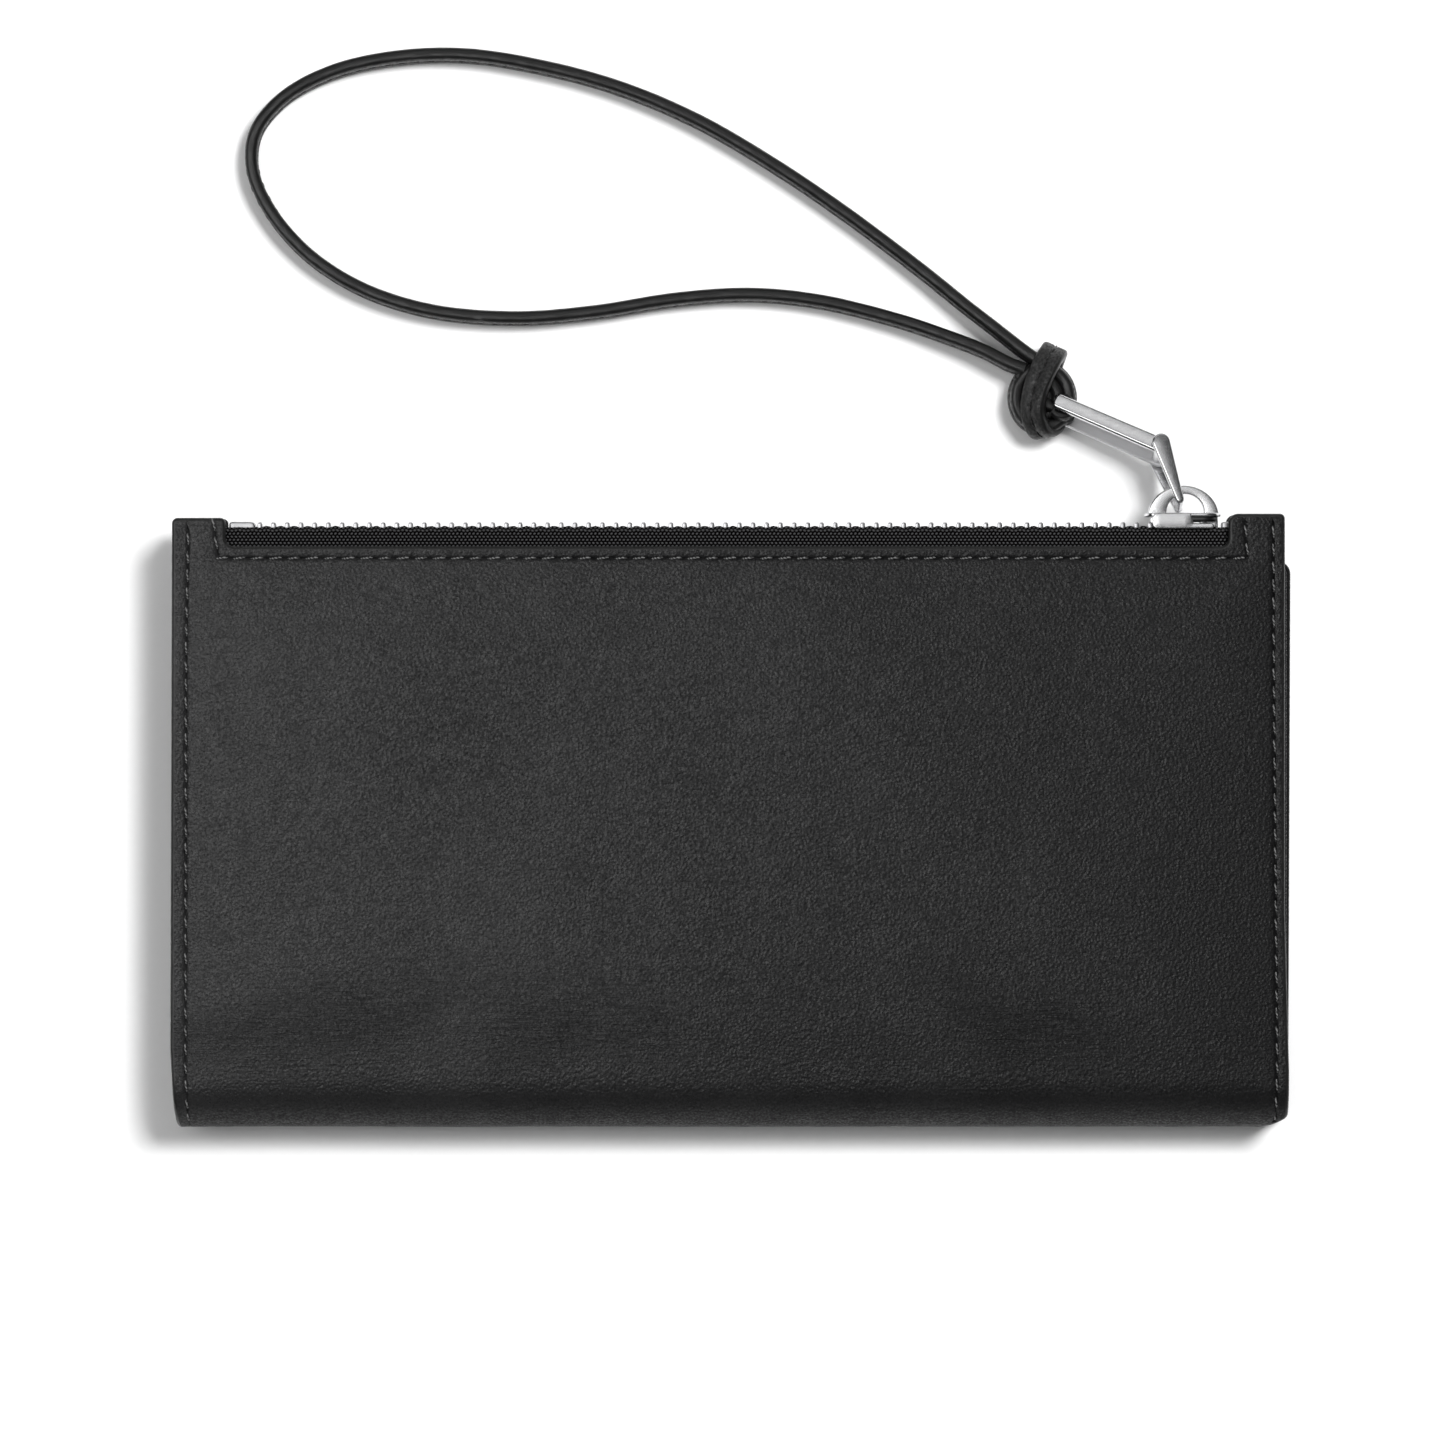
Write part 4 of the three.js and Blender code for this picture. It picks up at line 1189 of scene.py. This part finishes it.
def make_linings():
    """The lining of the rear half with its side of the fold, and the fold's other side."""
    low, high = node_box("rear_lining")
    bend = LINING_RADIUS * math.pi / 2
    ends = node_box("fold_lining")[1][0] - np.array((4.2, 1.4, 0.4))
    for name, side, body, node in (("rear_half_lining", -1, "rear_half", "rear_lining"),
                                   ("fold_front_lining", 1, "front_half", "fold_lining")):
        rear = side < 0
        corners = [(low[0], -bend, 0), (ends[0], -bend, 0), (ends[1], -7.5, 2.0),
                   (ends[2], -4.5, 2.0)]
        if rear:
            top = high[1] - FOLD_Y
            corners += [(high[0], 0.0, 2.0), (high[0], top, 1.6), (low[0], top, 1.6)]
        else:
            corners += [(ends[2], 0.0, 0), (low[0], 0.0, 0)]
        loop = outline(corners, 2.2)
        flat, _, faces, _ = slab([loop], -LINING_HALF, LINING_HALF, 0.12,
                                 scatter(loop, spacing=2.6), steps=2)
        calm = np.clip((top - flat[:, 1]) / 3, 0, 1) if rear else 1.0
        flat[:, 2] += 0.10 * soft_noise(flat[:, :2], 9.0, 3.3) * calm
        place = flat + (0, 0.0 if rear else 300.0, 0)
        piece = add_piece(name, along_fold(flat, side, LINING_RADIUS),
                          [face[::side] for face in faces], CLOTH, None, [node, "fold_lining"],
                          "lining_cloth", place)
        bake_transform(piece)


def make_card_slots():
    """Stepped card slots, sewn down at their sides and bottoms, with a creased line along the
    top."""
    for half, up in (("rear", 1), ("front", -1)):
        for column in ("left", "right"):
            for tier in (1, 2, 3):
                make_card_slot(half, up, column, tier)


def make_card_slot(half, up, column, tier):
    """One sheet of leather and the seam round three of its sides."""
    node, name = f"{half}_card_slot_{column}_{tier}", f"{half}_{column}_card_slot_{tier}"
    low, high = node_box(node)
    loop = box_outline(low, high, 1.5, 1.6)
    crease = np.array([(low[0] + 1.2, high[1] - 1.8), (high[0] - 1.2, high[1] - 1.8)])
    extra = scatter(loop, [crease], 4.0, 1.2, (0.0, 0.3, 0.7), 0.9)
    middle, thick = (low[2] + high[2]) / 2, (high[2] - low[2]) / 2
    points, _, faces, sides = slab([loop], -thick, thick, 0.2, extra, steps=2)
    outer = points[:, 2] > 0
    gap = distance_to(points[:, :2], crease)[0]
    points[outer, 2] -= 0.16 * np.exp(-(gap[outer] / 0.3) ** 2)
    place = points + (0, 0, 5.0 * tier + (30.0 if up < 0 else 0.0))

    def laid(flat):
        return np.column_stack([flat[:, 0], flat[:, 1], middle + up * flat[:, 2]])

    shell, thread = Shell(), Shell()
    shell.add(laid(points), [face[::up] for face in faces], sides, place)
    shell.piece(name, [INNER, EDGE], body=f"{half}_half", nodes=[node], slot="slot_leather")
    left, right, top, bottom = low[0] + 1.4, high[0] - 1.4, high[1] - 1.4, low[1] + 1.4
    seam = np.array([(left, top), (left, bottom), (right, bottom), (right, top)])
    for start, end in zip(seam[:-1], seam[1:]):
        add_stitches(thread, np.array([start, end]), thick, laid, radius=0.14)
    thread.piece(f"{name}_stitches", THREAD, body=f"{half}_half", slot="slot_leather")


def make_divider():
    """The panel between the zip pocket and the inside, with the front's outline."""
    low, high = node_box("pocket_divider")
    corners = [(x, y + FOLD_Y, r) for x, y, r in front_corners()]
    corners = [(x, max(y, low[1]), r if y > low[1] + 1 else 0) for x, y, r in corners]
    loop = outline(corners, 2.0)
    seam = inset(loop, 2.2)
    half_thick = (high[2] - low[2]) / 2
    points, _, faces, sides = slab([loop], low[2], high[2], 0.3,
                                   scatter(loop, spacing=5.0, margin=2.0))
    shell, thread = Shell(), Shell()
    shell.add(points, faces, sides, points + (0, 0, 60.0))
    shell.piece("pocket_divider_panel", [INNER, EDGE], body="front_half", nodes=["pocket_divider"],
                slot="slot_leather")
    keep = seam[:, 1] > low[1] + 3
    start = int(np.argmax(keep & ~np.roll(keep, 1)))
    line = np.roll(seam, -start, 0)[:int(keep.sum())]
    add_stitches(thread, line, half_thick, lambda p: np.column_stack(
        [p[:, 0], p[:, 1], low[2] + half_thick - p[:, 2]]), lift=0.02, radius=0.16)
    thread.piece("pocket_divider_stitches", THREAD, body="front_half", slot="slot_leather")


def make_pocket_bag():
    """The cloth bag of the zip pocket: open along its top, with its sides sewn flat."""
    wall, end = 0.45, 4.0
    reach = (BAG_HIGH[2] - BAG_LOW[2]) / 2
    steps = np.concatenate([np.linspace(BAG_LOW[0], BAG_LOW[0] + end, 7)[:-1],
                            np.linspace(BAG_LOW[0] + end, BAG_HIGH[0] - end, 60),
                            np.linspace(BAG_HIGH[0] - end, BAG_HIGH[0], 7)[1:]])
    heights = np.linspace(BAG_HIGH[1], BAG_LOW[1] + reach, 30)
    turn = np.radians(np.linspace(90, -90, 11))[1:-1]
    rows = []
    for x in steps:
        side = min(x - BAG_LOW[0], BAG_HIGH[0] - x)
        share = math.sqrt(max(0.0, 1 - (1 - min(1.0, side / end)) ** 2))
        half = 0.3 + wall + (reach - 0.3 - wall) * share
        path = [(y, half) for y in heights]
        path += [(BAG_LOW[1] + reach - reach * math.cos(a), half * math.sin(a)) for a in turn]
        path += [(y, -half) for y in heights[::-1]]
        path = np.array(path)
        tangent = unit(np.gradient(path, axis=0))
        sag = np.array([0.22 * (1 + noise.noise(Vector((x / 11, y / 11, 1.0 if z > 0 else 5.0))))
                        for y, z in path])
        path[:, 1] -= np.sign(path[:, 1]) * sag * share
        within = path + np.column_stack([-tangent[:, 1], tangent[:, 0]]) * wall
        rows.append(np.vstack([path, within[::-1]]))
    size = len(rows[0])
    points = np.array([(x, y, ZIP_Z + z) for x, row in zip(steps, rows) for y, z in row])
    faces = tube_faces(len(steps), size)
    for start, turn in ((0, -1), ((len(steps) - 1) * size, 1)):
        faces += [(start + b, start + b + 1, start + size - 2 - b, start + size - 1 - b)[::turn]
                  for b in range(size // 2 - 1)]
    add_piece("zip_pocket_bag", points, faces, CLOTH, "front_half", ["pocket_lining_bag"],
              "lining_cloth", sharp=60)


def make_gussets():
    """The folded side walls of the zip pocket."""
    for name, out in (("left", -1), ("right", 1)):
        low, high = node_box(f"pocket_gusset_{name}")
        edge_x, fold_x = (low[0], high[0]) if out < 0 else (high[0], low[0])
        rise = high[2] - ZIP_Z
        corners = [(edge_x, -rise, 0.3), (edge_x - out * 1.05, -rise, 0.3), (fold_x, 0.0, 0.5),
                   (edge_x - out * 1.05, rise, 0.3), (edge_x, rise, 0.3),
                   (fold_x + out * 1.25, 0.0, 0.4)][::-out]
        loop = outline([corners[-1]] + corners[:-1], 0.5)
        loop = loop if polygon_area(loop) > 0 else loop[::-1]
        heights = np.linspace(low[1], high[1], 60)
        count = len(loop)
        points = np.array([(x + 0.12 * noise.noise(Vector((0, y / 7, out))), y, ZIP_Z - z)
                           for y in heights for x, z in loop])
        faces = [face[::-1] for face in tube_faces(len(heights), count)]
        cap = fill([loop], np.zeros((0, 2)))
        faces += cap[:, ::-1].tolist() + (cap + (len(heights) - 1) * count).tolist()
        shell = Shell()
        shell.add(points, faces)
        shell.piece(f"pocket_gusset_{name}_fold", INNER, body="front_half",
                    nodes=[f"pocket_gusset_{name}"], slot="slot_leather")


# ---- Build ----

make_camera()
make_studio()
make_strap_loop()
make_knot()
make_link()
make_slider()
make_teeth()
make_tapes()
make_front_leather()
make_rear_leather()
make_linings()
make_card_slots()
make_divider()
make_pocket_bag()
make_gussets()
